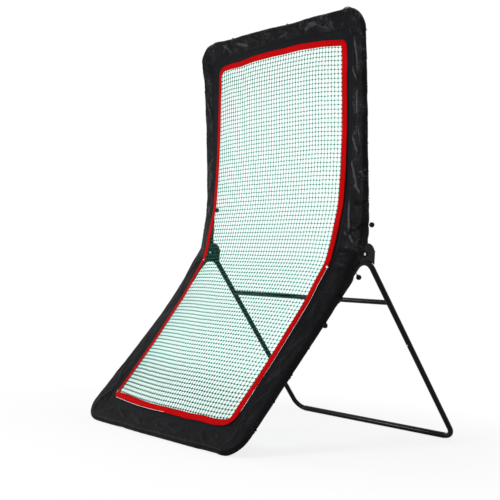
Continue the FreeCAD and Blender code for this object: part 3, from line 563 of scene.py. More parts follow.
def cover_section(s):
    """The cover's section at each station: front sheet, round over the tube, side, round behind and flap.

    The front is straight from the seam to the crown of the tube. The rounds are quarter circles between the
    outward direction and the panel's facing, and the side joins them straight. On the left side the cloth
    lies close to the tube, and at the top left corner it stands out in a fuller, squarer pocket."""
    x, sigma, out_x, out_sigma = tube_route(s)
    out, facing = direction(sigma, out_x, out_sigma), outward_normal(sigma)
    tight = LEFT_TIGHT * left_share(x, sigma)[:, None]
    wrap_r = WRAP_R - tight
    crown = place(x, FRONT_LINE, sigma) - facing * tight
    seam_x, seam_sigma = seam_route(s)
    seam = place(seam_x, NET_LINE, seam_sigma)
    cut = HINGE_CUT_SHARE * bump(sigma - HINGE_CUT, HINGE_CUT_WIDTH) * (np.abs(out_x) > 0.5)
    cut = np.clip(cut, 0, 1)[:, None]
    back_r = wrap_r - (wrap_r - HINGE_CUT_R) * cut
    front_centre = crown - facing * wrap_r
    back_centre = place(x, BACK_LINE, sigma) + out * (wrap_r - back_r)
    strip = strip_share(s)[:, None]
    columns = []
    for across in FRONT_ACROSS:
        past = max(across - STRIP_ACROSS, 0) / (CROWN_ACROSS - STRIP_ACROSS)
        share = strip * min(across / STRIP_ACROSS, 1) + (1 - strip) * past
        columns.append(seam + (crown - seam) * share)
    for angle in np.linspace(np.pi / 2, 0, ROUND_COLUMNS):
        columns.append(front_centre + wrap_r * (out * np.cos(angle) + facing * np.sin(angle)))
    side_top, side_end = columns[-1], back_centre + out * back_r
    columns += [side_top + (side_end - side_top) * q for q in np.linspace(0, 1, SIDE_COLUMNS + 2)[1:-1]]
    for angle in np.linspace(0, -np.pi / 2, ROUND_COLUMNS - 1):
        columns.append(back_centre + back_r * (out * np.cos(angle) + facing * np.sin(angle)))
    flap = FLAP_WIDTH * (1 - cut) + FLAP_LEAST
    columns += [columns[-1] - out * flap * q for q in np.linspace(0, 1, FLAP_COLUMNS + 1)[1:]]
    section = np.stack(columns, 1)
    pocket = sum(reach * bump(s - at, width) for at, reach, width in CORNER_POCKET)
    pocket = pocket + CORNER_WAVE * cloth_noise(s, 0.0, 0.075, 1.0, 17) * eased((np.abs(sigma) - 0.9) / 0.2)
    outer = np.interp(np.arange(len(columns)), [POCKET_COLUMN, len(FRONT_ACROSS)], [0, 1])
    return section + out[:, None] * (pocket[:, None] * outer)[..., None]


# The folds that show on the upper right side, and one below its hinge: places (sigma, x) and height
SIDE_FOLDS = [
    ([(1.101, 0.570), (0.983, 0.588), (0.925, 0.594), (0.838, 0.599)], 0.0078),
    ([(0.941, 0.552), (0.906, 0.562), (0.827, 0.595)], 0.0062),
    ([(0.819, 0.592), (0.700, 0.585), (0.647, 0.588)], 0.0074),
    ([(0.635, 0.530), (0.555, 0.560), (0.471, 0.597)], 0.0072),
    ([(0.641, 0.591), (0.493, 0.610), (0.459, 0.597), (0.472, 0.574)], 0.0066),
    ([(0.481, 0.544), (0.395, 0.565), (0.309, 0.590)], 0.0070),
    ([(0.349, 0.561), (0.265, 0.618)], 0.0060),
    ([(0.332, 0.532), (0.200, 0.549), (0.075, 0.572)], 0.0068),
    ([(0.136, 0.526), (0.074, 0.562)], 0.0054),
    ([(0.096, 0.564), (0.024, 0.597)], 0.0060),
    ([(0.760, 0.553), (0.690, 0.572)], 0.0045),
    ([(1.060, 0.545), (1.150, 0.568)], 0.0055),
    ([(-0.116, 0.548), (-0.130, 0.575), (-0.126, 0.608)], 0.0075),
]
# A sharp crease below the right hinge, sunk into the cloth and painted dark as shade
LOW_CREASE, CREASE_DEPTH, CREASE_WIDTH = [(-0.150, 0.560), (-0.154, 0.585), (-0.150, 0.618)], 0.0030, 0.0045
# Widths of the two flanks of those folds, and of the folds of chance
SIDE_FLANKS, CHANCE_FLANKS = (0.0042, 0.0085), (0.0045, 0.010)
CHANCE_SEED, CHANCE_COUNT = 41, 64
# The folds of chance: how far they slant round the frame, where they start and end across, how far they bend
# and how high they are
CHANCE_SLANT, CHANCE_BEND, CHANCE_HEIGHT = (0.06, 0.19), 0.008, (0.0026, 0.0062)
CHANCE_START, CHANCE_END = (0.056, 0.080), (0.098, 0.126)
# The upper right side, which has its own folds, lies from the first of these places on to the second.
OWN_FROM, OWN_TO = ROUND_RUN - 0.1, 1.2
# The crumples, from fold to fold: depth, length, width and seed
CRUMPLES = [(0.0022, 0.085, 0.030, 13), (0.0011, 0.034, 0.016, 14), (0.0005, 0.015, 0.010, 15),
            (0.0013, 0.160, 0.050, 16)]
# At the inner strip's seam, the step up to the outer cloth and the dent of the stitches: height and width
SEAM_STEP, SEAM_DENT = (0.0016, 0.004), (0.0012, 0.0028)
# A fold of this height gets the full painted grey highlight
HIGHLIGHT_HEIGHT = 0.0060
# The puckers beside a loop: span to each side, height, reach, and how far past the crown their fan begins
PUCKER_SPAN, PUCKER_HEIGHT, PUCKER_REACH, PUCKER_PAST = 0.12, 0.0036, 0.040, 0.012
# The groove under a loop: width, depth, and depth of those that go to the front
GROOVE_WIDTH, GROOVE_DEPTH, FRONT_GROOVE_DEPTH = 0.0075, 0.0005, 0.0034


def laid_out(route):
    """Places (sigma, x) of the right side in the cover's own measures, round the frame and across."""
    laid = []
    for sigma, x in route:
        seam = seam_route(sigma)[0]
        strip = seam + strip_share(sigma) * (HALF_WIDTH - seam)
        across = np.interp(x, [seam, strip, HALF_WIDTH, HALF_WIDTH + 1],
                           [0, STRIP_ACROSS, CROWN_ACROSS, CROWN_ACROSS + 1])
        laid.append((sigma, across))
    return laid


def fold_height(s, across, route, steep, gentle):
    """One fold: a bell over its line, steep on one side, gentle on the other, fading at both ends."""
    places = np.array(route)
    passed = travelled(places)
    nearest, signed, travel = np.full(s.shape, np.inf), np.zeros(s.shape), np.zeros(s.shape)
    for start, end, before, after in zip(places, places[1:], passed, passed[1:]):
        along_s, along_a = (end - start) / (after - before)
        away, aside = round_from(s, start[0]), across - start[1]
        over_run = np.clip(away * along_s + aside * along_a, 0, after - before)
        off_s, off_a = away - over_run * along_s, aside - over_run * along_a
        distance = np.hypot(off_s, off_a)
        closer = distance < nearest
        nearest = np.where(closer, distance, nearest)
        signed = np.where(closer, off_a * along_s - off_s * along_a, signed)
        travel = np.where(closer, before + over_run, travel)
    share = travel / passed[-1]
    bell = bump(nearest, np.where(signed > 0, steep, gentle))
    return bell * eased(share / 0.25) * eased((1 - share) / 0.3)


def scattered_folds(seed, count):
    """Folds of chance lie: each starts on the flat of the border and slants out to the tube.

    None lies on the upper right side, which has its own."""
    draw = np.random.default_rng(seed)
    folds = []
    while len(folds) < count:
        start = draw.uniform(0, ROUND_RUN)
        slant = draw.uniform(*CHANCE_SLANT) * draw.choice([-1, 1])
        inner, outer = draw.uniform(*CHANCE_START), draw.uniform(*CHANCE_END)
        height = draw.uniform(*CHANCE_HEIGHT)
        if min(start, start + slant) < OWN_TO or max(start, start + slant) > OWN_FROM:
            continue
        middle = (start + slant / 2, (inner + outer) / 2 + draw.uniform(-CHANCE_BEND, CHANCE_BEND))
        folds.append(([(start, inner), middle, (start + slant, outer)], height))
    return folds


def cover_folds(s, across):
    """Height of the folds over the smooth cover and, each from 0 to 1, the painted highlight on its ridges, its
    slack places, and the painted shade in its crease and grooves.

    Outside a flat strip along the webbing, long folds slant from the seam of that strip to the tube. The
    cloth is gathered into short puckers beside every elastic loop, which presses a shallow groove over the
    tube, and small crumples cover everything. The lower half is pulled flatter."""
    turn = np.mod(s, ROUND_RUN)
    lower = eased((turn - 2 * QUARTER_RUN - 0.02) / 0.15) * eased((ROUND_RUN - turn - 0.02) / 0.15)
    tight = 1 - 0.5 * lower
    side_folds = np.maximum(eased((1.10 - turn) / 0.10), eased((turn - ROUND_RUN + 0.3) / 0.1))
    loose, off_seam = eased((across - STRIP_ACROSS) / 0.012), eased(across / 0.02)
    in_front = eased((CROWN_ACROSS + 0.006 - across) / 0.02)
    height = np.zeros(s.shape)
    for route, peak in SIDE_FOLDS:
        height += peak * fold_height(s, across, laid_out(route), *SIDE_FLANKS)
    for number, (route, peak) in enumerate(scattered_folds(CHANCE_SEED, CHANCE_COUNT)):
        flanks = CHANCE_FLANKS if number % 2 else CHANCE_FLANKS[::-1]
        height += peak * tight * fold_height(s, across, route, *flanks)
    height *= loose * (0.25 + 0.75 * in_front)
    # The grey highlight painted on a fold grows with its height, and is weaker in the lower half and away from the
    # upper right side.
    ridge = np.clip(height / HIGHLIGHT_HEIGHT, 0, 1) ** 2 * (1 - 0.8 * lower) * (0.55 + 0.45 * side_folds)
    crumpled = (tight * loose * (0.3 + 0.7 * in_front), tight * loose, off_seam, off_seam)
    for (depth, length, width, seed), where in zip(CRUMPLES, crumpled):
        height += depth * where * cloth_noise(s, across, length, width, seed)
    pressed = fold_height(s, across, laid_out(LOW_CREASE), CREASE_WIDTH, CREASE_WIDTH)
    height -= CREASE_DEPTH * pressed
    down = CROWN_ACROSS - across + PUCKER_PAST
    arc = CROWN_ACROSS + WRAP_R * np.pi / 2 - across
    over_tube = eased((across - CROWN_ACROSS + 0.042) / 0.010)
    for number, at in enumerate(loop_places()):
        away = round_from(s, at)
        near = np.abs(away) < PUCKER_SPAN
        radius = np.hypot(away, down)
        angle = np.arctan2(away, np.maximum(down, 1e-4))
        fan = np.cos(angle * (7 + number % 3) + number) * np.exp(-radius / PUCKER_REACH) * (down > 0) * loose
        fan_share = near * eased(radius / 0.012)
        height += PUCKER_HEIGHT * tight * fan * fan_share
        # The crests of the puckers get the painted grey highlight too.
        ridge += np.clip(0.22 * fan, 0, 1) * fan_share * (1 - 0.6 * lower)
        if at in FRONT_LOOPS:
            # A front loop's groove is sunk into the cloth and painted dark as shade.
            groove = near * bump(away + front_slip(at, arc), GROOVE_WIDTH) * over_tube
            height -= FRONT_GROOVE_DEPTH * groove
            pressed = np.maximum(pressed, groove)
        else:
            height -= GROOVE_DEPTH * near * bump(away, GROOVE_WIDTH) * over_tube
    (step, step_width), (dent, dent_width) = SEAM_STEP, SEAM_DENT
    past_seam = across - STRIP_ACROSS
    height += step * eased(past_seam / step_width) - dent * bump(past_seam, dent_width)
    # As attributes: the painted highlight on ridges, the slack places where crease highlights are painted, and the
    # painted shade in the crease and grooves.
    tone_and_painted_light = {"ridge": np.clip(ridge, 0, 1) * (1 - pressed), "slack": loose * (1 - 0.8 * lower),
            "pressed": pressed}
    return height, tone_and_painted_light


def cloth_cover():
    """The black cover as one strip of cloth round all four sides, folded over the tubes.

    Its folds stand along the smooth cover's normals: the cross product of the steps across and along."""
    stations = int(round(ROUND_RUN / STATION_STEP))
    s = np.arange(stations) * ROUND_RUN / stations
    points = cover_section(s)
    # Past the crown, the measure across is the real distance.
    past_crown = np.linalg.norm(np.diff(points[:, len(FRONT_ACROSS):], axis=1), axis=2)
    front = np.broadcast_to(np.append(FRONT_ACROSS, CROWN_ACROSS), (stations, len(FRONT_ACROSS) + 1))
    across = np.concatenate([front, CROWN_ACROSS + np.cumsum(past_crown, 1)], 1)
    s_grid = np.broadcast_to(s[:, None], across.shape)
    height, tone_and_painted_light = cover_folds(s_grid, across)
    height *= 1 - 0.5 * left_share(*tube_route(s_grid)[:2])
    height[:, -FLAP_COLUMNS - 1:] *= 0.6
    height[:, 0] = 0
    along = np.roll(points, -1, 0) - np.roll(points, 1, 0)
    points = points + unit(np.cross(np.gradient(points, axis=1), along)) * height[..., None]
    points[..., 2] = np.maximum(points[..., 2], FLOOR_CLEAR)
    faces = grid_faces(*across.shape, close_rows=True)
    cover = new_mesh("cloth_cover", CLOTH, points, faces, np.stack([s_grid, across], -1), ROUND_RUN)
    for name, values in tone_and_painted_light.items():
        layer = cover.data.attributes.new(name, "FLOAT", "POINT")
        layer.data.foreach_set("value", values.astype(np.float32).ravel())
    solidify = cover.modifiers.new("thickness", "SOLIDIFY")
    solidify.thickness = CLOTH_THICK
    solidify.offset = -1
    return cover


# Red webbing and the white cord beside it

# Radii of the webbing's corners, by the signs of x and sigma, in their order round the net
CORNER_ROUNDS = {(1, 1): 0.020, (-1, 1): 0.052, (-1, -1): 0.026, (1, -1): 0.040}
LEAST_ROUND = 0.003
SIDE_STEPS, BAR_STEPS, CORNER_STEPS = 240, 112, 12


def ring(offset):
    """A line round the net from the right hinge, at an offset outwards from the webbing's middle.

    It is x and sigma of a rectangle whose corners are quarter circles, each of its own radius. Every offset
    has its points at the same shares of each side and corner."""
    half, end = NET_HALF + offset, NET_END + offset

    def straight(start, stop, steps):
        """Places in even steps from one point up to, and without, the other."""
        return start[:, None] + (stop - start)[:, None] * np.linspace(0, 1, steps, endpoint=False)

    hinge = np.array([half, 0.0])
    start, runs = hinge, []
    for quarter, (signs, radius) in enumerate(CORNER_ROUNDS.items()):
        r = max(radius + offset, LEAST_ROUND)
        angles = np.pi / 2 * (quarter + np.linspace(0, 1, CORNER_STEPS + 1))
        centre = signs * np.array([half - r, end - r])
        arc = centre[:, None] + r * np.stack([np.cos(angles), np.sin(angles)])
        steps = (SIDE_STEPS // 2, BAR_STEPS, SIDE_STEPS, BAR_STEPS)[quarter]
        runs += [straight(start, arc[:, 0], steps), arc[:, :-1]]
        start = arc[:, -1]
    return np.concatenate([*runs, straight(start, hinge, SIDE_STEPS // 2)], 1)


# The pull of the net turns the webbing's inner edge forwards on both sides, by these slopes
LEFT_TURN, RIGHT_TURN = 0.21, 0.10
TURN_FADE = 0.35


def turn_lift(x, sigma):
    """How far the net and the webbing stand forward, because the webbing is turned along both sides.

    It is the slope times the distance in from the webbing's outer edge, up to its width, and fades out
    further in."""
    from_end = NET_END - np.abs(sigma)
    lift = 0
    for slope, from_side in ((LEFT_TURN, NET_HALF + x), (RIGHT_TURN, NET_HALF - x)):
        inward = np.clip(np.minimum(from_side, from_end) + BAND_WIDTH / 2, 0, BAND_WIDTH)
        lift = lift + slope * inward * (1 - eased((from_side - BAND_WIDTH / 2) / TURN_FADE))
    return lift


BAND_COLUMNS = 9
BAND_WAVE, BAND_RIPPLE = 0.0030, 0.0008
BAND_LIFT, OUTER_LIFT = 0.0016, 0.0010


def red_band():
    """The webbing: a flat strip with rounded edges, carried round the net over its seam."""
    middle = np.stack(fitted(*ring(0.0)), -1)
    steps = np.linalg.norm(np.roll(middle, -1, 0) - middle, axis=1)
    travel = np.cumsum(steps) - steps
    s = travel / steps.sum() * ROUND_RUN
    wave = 1 + BAND_WAVE * cloth_noise(s, 0.0, 0.12, 1.0, 21)
    offsets = np.linspace(-0.5, 0.5, BAND_COLUMNS) * BAND_WIDTH
    section = [(o, BAND_THICK * (1 - 0.35 * (2 * o / BAND_WIDTH) ** 4)) for o in offsets]
    section += [(o, 0.0) for o in offsets[::-1]]
    points, uv = [], []
    for o, height in section:
        flat = ring(o)
        x, sigma = fitted(*flat)
        lift = BAND_LIFT + OUTER_LIFT * eased((o + BAND_WIDTH / 2) / BAND_WIDTH) + height + turn_lift(*flat)
        lift = lift + BAND_RIPPLE * cloth_noise(s, o, 0.06, 0.02, 22)
        points.append(place(x * wave, NET_LINE, sigma * wave) + outward_normal(sigma) * lift[:, None])
        uv.append(np.stack([travel, np.full(len(s), o)], -1))
    faces = grid_faces(len(s), len(section), close_rows=True, close_columns=True)
    return new_mesh("red_webbing", WEBBING, np.stack(points, 1), faces, np.stack(uv, 1), steps.sum())


def tube_along(line, radius, sides, facing):
    """A round tube along one line of points, closed at its ends: circles square to the line's direction."""
    along = unit(np.gradient(line, axis=0))
    side = unit(np.cross(along, facing))
    up = np.cross(side, along)
    angles = np.linspace(0, 2 * np.pi, sides, endpoint=False)[:, None]
    circles = side[:, None] * np.cos(angles) + up[:, None] * np.sin(angles)
    points = (line[:, None] + radius * circles).reshape(-1, 3)
    uv = np.stack([np.repeat(travelled(line), sides), np.tile(angles[:, 0] * radius, len(line))], -1)
    return (np.concatenate([points, line[[0, -1]]]), capped_tube(len(line), sides),
            np.concatenate([uv, np.zeros((2, 2))]))


def turned_piece(centre, axis, along, radii, around):
    """A piece turned about an axis: circles of given radii at places along it, with a pole at each end."""
    turn = np.linspace(0, 2 * np.pi, around, endpoint=False)[:, None]
    side = unit(np.cross(axis, [0.31, 0.17, 0.93]))
    circle = side * np.cos(turn) + np.cross(axis, side) * np.sin(turn)
    points = radii[1:-1, None, None] * circle + along[1:-1, None, None] * axis
    poles = along[[0, -1], None] * axis
    return np.concatenate([points.reshape(-1, 3), poles]) + centre, capped_tube(len(radii) - 2, around)


PIPING_R = 0.0008
PIPING_OUT, PIPING_TUCKED = 0.0006, -0.0045
PIPING_LIFT, CORNER_LIFT = 0.0020, 0.0022
PIPING_TOP_RIGHT, PIPING_TOP_LEFT = -0.147, -0.117
# Where the cord shows, at the foot and on the right side: the x and the sigma that it shows from, each with
# the length over which it comes out and the sign of that way
SHOWN_FOOT, SHOWN_RIGHT = ((0.16, -0.30), (-1.005, -0.015)), ((0.46, 0.01), (-1.01, 0.03))
# The knots at the cord's two ends: how far to the right of the end, and radius
KNOT_RIGHT, KNOT_LEFT = (0.004, 0.0062), (0.017, 0.0036)
KNOT_FORWARD = 0.007


def edge_piping():
    """A white cord along the webbing's outer edge, round the lower net from bend to bend, with knotted ends.

    It lies just outside the webbing down the right side and round the lower left corner, and is tucked under
    its edge elsewhere."""
    shown, tucked = (np.stack(fitted(*ring(BAND_WIDTH / 2 + out)), -1)
                     for out in (PIPING_OUT, PIPING_TUCKED))
    lower_left, right_side = (
        eased((shown[:, 0] - x_from) / x_over) * eased((shown[:, 1] - sigma_from) / sigma_over)
        for (x_from, x_over), (sigma_from, sigma_over) in (SHOWN_FOOT, SHOWN_RIGHT))
    share = np.maximum(lower_left, right_side)[:, None]
    line = tucked * (1 - share) + shown * share
    below = line[:, 1] < np.where(line[:, 0] > 0, PIPING_TOP_RIGHT, PIPING_TOP_LEFT)
    x, sigma = line[below].T
    facing = outward_normal(sigma)
    points = place(x, NET_LINE, sigma) + facing * (PIPING_LIFT + CORNER_LIFT * lower_left[below])[:, None]
    pieces = [tube_along(points, PIPING_R, 6, facing)]
    polar = np.linspace(0, np.pi, 8)
    for end in (points[0], points[-1]):
        aside, radius = KNOT_RIGHT if end[0] > 0 else KNOT_LEFT
        knot, faces = turned_piece(end + [aside, -KNOT_FORWARD, 0.0], np.array([0.0, -1.0, 0.0]),
                                   radius * np.cos(polar), radius * np.sin(polar), 10)
        pieces.append((knot, faces, np.zeros((len(knot), 2))))
    return merged("white_edge_cord", PIPING, pieces)


# The net

# How far the net is crowned forwards, how far it lies behind the webbing, and how much of it is hidden there
NET_CROWN, NET_BEHIND = 0.019, 0.0014
HIDDEN_EDGE = 0.019
NET_JITTER = 0.0006
# How much fuller and denser the twine is drawn where the photograph's net is fuller
FULLER, DENSER = 0.15, 0.26
SPOKES = np.array([[1, 0, 0], [-1, 0, 0], [0, 1, 0], [0, -1, 0], [0, 0, 1], [0, 0, -1]], float)
OCTAHEDRON = np.array([[0, 2, 4], [2, 1, 4], [1, 3, 4], [3, 0, 4],
                       [2, 0, 5], [1, 2, 5], [3, 1, 5], [0, 3, 5]])


def strand_tubes(lines, radius):
    """Points and faces of closed square tubes along many lines of points, with a radius at each point."""
    count, steps, _ = lines.shape
    along = unit(np.gradient(lines, axis=1))
    side = unit(np.cross(along, np.array([0.0, -0.9, 0.35])))
    up = np.cross(side, along)
    points = np.stack([lines + radius[..., None] * corner for corner in (side, up, -side, -up)], 2)
    ends = np.array([[0, 1, 2, 3], [3, 2, 1, 0] + np.full(4, (steps - 1) * 4)])
    faces = np.concatenate([grid_faces(steps, 4, close_columns=True), ends])
    all_faces = faces[None] + (np.arange(count) * steps * 4)[:, None, None]
    return points.reshape(-1, 3), all_faces.reshape(-1, 4)


def within_corners(x, sigma):
    """Draws the places that lie beyond the webbing's rounded corners in to its middle line."""
    upper = np.where(x > 0, CORNER_ROUNDS[1, 1], CORNER_ROUNDS[-1, 1])
    r = np.where(sigma > 0, upper, np.where(x > 0, CORNER_ROUNDS[1, -1], CORNER_ROUNDS[-1, -1]))
    past_x, past_sigma = np.abs(x) - NET_HALF + r, np.abs(sigma) - NET_END + r
    away = np.hypot(past_x, past_sigma)
    beyond = np.where((past_x > 0) & (past_sigma > 0) & (away > r), 1 - r / np.maximum(away, 1e-9), 0)
    return x - np.sign(x) * past_x * beyond, sigma - np.sign(sigma) * past_sigma * beyond


def net_surface(x, sigma):
    """A point of the net: on its line, behind the webbing, and crowned forwards inside the webbing.

    The crown falls to nothing at the webbing with the fourth power of the share across and the tenth along,
    and it starts from the turned webbing."""
    x, sigma = within_corners(*np.broadcast_arrays(x, sigma))
    fit_x, fit_sigma = fitted(x, sigma)
    across = np.abs(x) / (NET_HALF - HIDDEN_EDGE)
    along = np.abs(sigma) / (NET_END - HIDDEN_EDGE)
    crown = NET_CROWN * np.clip(1 - across ** 4, 0, 1) * np.clip(1 - along ** 10, 0, 1) - NET_BEHIND
    forward = (crown + turn_lift(x, sigma))[..., None]
    return place(fit_x, NET_LINE, fit_sigma) + outward_normal(fit_sigma) * forward


def fullness(sigma):
    """How full the twine is, from 0 to 1: most at the foot of the net, some at its top."""
    return eased((-sigma - 0.72) / 0.22) + 0.5 * eased((sigma - 0.72) / 0.30)


def net():
    """A square mesh of knotted twine: strands up and across the panel, with a knot at each crossing.

    The strands are even along the net's own line. A knot is an octahedron."""
    fine = np.linspace(-NET_END, NET_END, 4000)
    travel = travelled(place(0.0, NET_LINE, fine))
    rows = int(round(travel[-1] / PITCH_ALONG)) + 1
    columns = int(round(2 * NET_HALF / PITCH_ACROSS)) + 1
    sigma = np.interp(np.linspace(0, travel[-1], rows), travel, fine)
    x = np.linspace(-NET_HALF, NET_HALF, columns)
    jitter = np.random.default_rng(31).normal(0, NET_JITTER, (2, rows, columns))
    jitter[:, [0, -1], :] = 0
    jitter[:, :, [0, -1]] = 0
    grid = net_surface(x[None, :] + jitter[0], sigma[:, None] + jitter[1])
    full = np.broadcast_to(fullness(sigma)[:, None], (rows, columns))
    thick = 1 + FULLER * full
    ups, up_faces = strand_tubes(np.swapaxes(grid, 0, 1), STRAND_R * thick.T)
    acrosses, across_faces = strand_tubes(grid, STRAND_R * thick)
    knots = (grid.reshape(-1, 1, 3) + KNOT_R * thick.reshape(-1, 1, 1) * SPOKES).reshape(-1, 3)
    knot_faces = (OCTAHEDRON[None] + (np.arange(rows * columns) * len(SPOKES))[:, None, None]).reshape(-1, 3)
    strands = len(ups) + len(acrosses)
    triangles = np.concatenate([halved(np.concatenate([up_faces, across_faces + len(ups)])),
                                knot_faces + strands])
    # The twine's density stands in the UV map's first place: 1 in the knots.
    shade = np.zeros((strands + len(knots), 2))
    shade[strands:, 0] = 1
    shade[:strands, 0] = DENSER * np.concatenate([np.repeat(full.T, 4), np.repeat(full, 4)])
    return new_mesh("net", TWINE, np.concatenate([ups, acrosses, knots]), triangles, shade)


# Elastic loops and balls

CORD_R, LOOP_CLEAR = 0.0021, 0.0006
BALL_R, PARTING_LINE = 0.0132, 0.0004
NECK_R, NECK_LENGTH = 0.0042, 0.012
# Where a ball shows: side of the frame, place up from the hinge, how far it leans in and hangs behind
SHOWN_BALLS = [(1, 0.140, 0.002, 0.031), (1, -0.119, 0.002, 0.049), (1, -0.426, 0.006, 0.016),
               (-1, 0.263, 0.009, 0.022)]
# How far the balls that hardly show lean in and hang: on the right, on the bars, on the left low and high
HIDDEN_RIGHT, HIDDEN_MIDDLE = (0.030, 0.016), (0.024, 0.016)
HIDDEN_LEFT, HIGH_LEFT = (-0.021, 0.006), (0.004, 0.012)
HIGH_FROM = 0.45
BALL_SPREAD = 0.002
# The second left loop's ball hangs this much lower. Loops as far from the hinge as that one are double, each
# strand this far from the middle.
BALL_DROP = 0.022
DOUBLE_AT, DOUBLE_HALF = SIDE_LOOPS_UPPER[1], 0.004
# How a loop goes into the cloth: at the front, how far in from the crown and how high over it; at the side,
# its angle round the tube and how far in
FRONT_ENTRY = [(0.014, 0.0035), (0.028, 0.0025), (0.036, -0.006)]
SIDE_ENTRY = [(0.0, 0.0), (0.12, 0.002), (0.22, 0.006)]
PATH_WINDOW = 0.004


def ball_rest(x, sigma, number):
    """How far a ball leans in from the tube, and how far behind it the ball hangs."""
    for side, at, lean, hang in SHOWN_BALLS:
        if np.sign(x) == side and abs(sigma - at) < 0.02:
            return lean, hang
    lean, hang = HIDDEN_RIGHT
    if abs(x) < HALF_WIDTH * 0.9:
        lean, hang = HIDDEN_MIDDLE
    elif x < 0:
        lean, hang = HIDDEN_LEFT if sigma < HIGH_FROM else HIGH_LEFT
    return lean + BALL_SPREAD * np.cos(number * 2.3), hang + BALL_SPREAD * np.sin(number * 1.7)


def ball_and_neck(centre, axis):
    """A moulded ball with a short neck on the side of the cord, and a fine parting line round its middle."""
    polar = np.linspace(0, np.pi - np.arcsin(NECK_R / BALL_R), 13)
    along, radii = BALL_R * -np.cos(polar), BALL_R * np.sin(polar)
    radii[6] += PARTING_LINE
    neck_end = BALL_R + NECK_LENGTH
    along = np.concatenate([along, [BALL_R + 0.002, neck_end - 0.001, neck_end, neck_end]])
    radii = np.concatenate([radii, [NECK_R * 0.85, NECK_R * 0.8, NECK_R * 0.6, 0]])
    return turned_piece(centre, axis, along[::-1], radii[::-1], 18)


def loop_line(at, number, aside):
    """A loop's line in its own plane: out of the ball, up the side, over the crown and down into the cloth.

    It comes with the ball's middle and the direction square to the plane."""
    x, sigma, out_x, out_sigma = (float(v) for v in tube_route(at))
    lean, hang = ball_rest(x, sigma, number)
    out, facing = direction(sigma, out_x, out_sigma), outward_normal(sigma)
    along = np.cross(out, facing)
    crown, behind = place(x, FRONT_LINE, sigma), place(x, BACK_LINE, sigma)
    centre = crown - facing * WRAP_R
    depth = np.dot(centre - behind, facing)
    reach = WRAP_R + CORD_R + LOOP_CLEAR
    ball = behind - facing * (WRAP_R + hang) - out * lean
    if x < 0 and abs(sigma - DOUBLE_AT) < 0.01:
        ball[2] -= BALL_DROP

    def spoke(angle):
        """The direction at an angle from the outward one towards the panel's facing."""
        return out * np.cos(angle) + facing * np.sin(angle)

    bend = np.radians([-62, -40, -20, 0] if lean < 0.01 else [-80, -58, -36, -18, 0])
    path = [ball, *(behind + reach * spoke(a) for a in bend)]
    if depth > 0.01:
        path += [behind + reach * out + facing * depth * q for q in (0.33, 0.66)]
    if at in FRONT_LOOPS:
        path += [centre + reach * spoke(a) + along * front_slip(at, a * reach)
                 for a in np.radians([0, 18, 36, 54, 72, 90])]
        path += [crown + facing * lift - out * inward + along * front_slip(at, reach * np.pi / 2 + inward)
                 for inward, lift in FRONT_ENTRY]
    else:
        path += [centre + (reach - inside) * spoke(a) for a, inside in SIDE_ENTRY]
    return np.array(path) + along * aside, ball, along


def smooth_path(points, count):
    """A smooth line through points: evenly spaced places on a curve of averaged straight runs."""
    travel = travelled(points)
    at = np.linspace(0, travel[-1], count)[:, None] + np.linspace(-1, 1, 5) * PATH_WINDOW
    return np.stack([np.interp(at, travel, values).mean(1) for values in points.T], -1)


SLACK_FROM, SLACK_TO, SLACK_LIFT, SLACK_R = 0.475, 0.535, 0.008, 0.0022


def slack_strand():
    """The hem elastic where it stands off the top edge of the cover, in one low arch: half a sine wave."""
    share = np.linspace(0, 1, 24)
    up = direction(1.0, 0.0, 1.0)
    edge = place(SLACK_FROM + (SLACK_TO - SLACK_FROM) * share, BACK_LINE, FRAME_LENGTH) + up * WRAP_R
    return tube_along(edge + up * (np.sin(np.pi * share) * SLACK_LIFT)[:, None], SLACK_R, 6, up)


def loops_and_balls():
    """All the elastic loops of a frame as one piece and their balls as another, for both frames."""
    made = {}
    for word, sign in (("upper", 1), ("lower", -1)):
        cords, balls = [], []
        for number, at in enumerate(loop_places()):
            sigma = float(tube_route(at)[1])
            if np.sign(sigma) != sign:
                continue
            doubled = abs(abs(sigma) - DOUBLE_AT) < 0.01
            for aside in (-DOUBLE_HALF, DOUBLE_HALF) if doubled else (0.0,):
                path, ball, along = loop_line(at, number, aside)
                cords.append(tube_along(smooth_path(path, 30), CORD_R, 7, along))
            balls.append(ball_and_neck(ball, unit(path[1] - ball)))
        if word == "upper":
            cords.append(slack_strand())
        made[word] = (merged(f"{word}_elastic_loops", ELASTIC, cords),
                      merged(f"{word}_elastic_balls", BALL, balls))
    return made


# Camera, floor and light

CAMERA_AT = Vector((3.6806, -3.354446, 0.71184))
CAMERA_AZIMUTH, CAMERA_PITCH, CAMERA_ROLL = 0.8676251, -0.0460717, 0.0646650
FOCAL_PIXELS, PICTURE_PIXELS = 931.404, 500
SENSOR = 36.0


def make_camera():
    """The photograph's camera: the direction it looks in, rolled about it."""
    az, pitch, roll = CAMERA_AZIMUTH, CAMERA_PITCH, CAMERA_ROLL
    look = Vector((-np.sin(az) * np.cos(pitch), np.cos(az) * np.cos(pitch), -np.sin(pitch)))
    level = Vector((np.cos(az), np.sin(az), 0.0))
    up = level.cross(look)
    right = level * np.cos(roll) + up * np.sin(roll)
    top = up * np.cos(roll) - level * np.sin(roll)
    data = bpy.data.cameras.new("camera")
    data.sensor_width = SENSOR
    data.lens = SENSOR * FOCAL_PIXELS / PICTURE_PIXELS
    camera = bpy.data.objects.new("camera", data)
    camera.matrix_world = Matrix.Translation(CAMERA_AT) @ Matrix((right, top, -look)).transposed().to_4x4()
    bpy.context.scene.collection.objects.link(camera)
    bpy.context.scene.camera = camera


FLOOR_RADIUS, FLOOR_CORNERS = 9.0, 64
FLOOR_NEAR, FLOOR_FADE = 0.5, 2.2
FLOOR_GLOW = 0.78


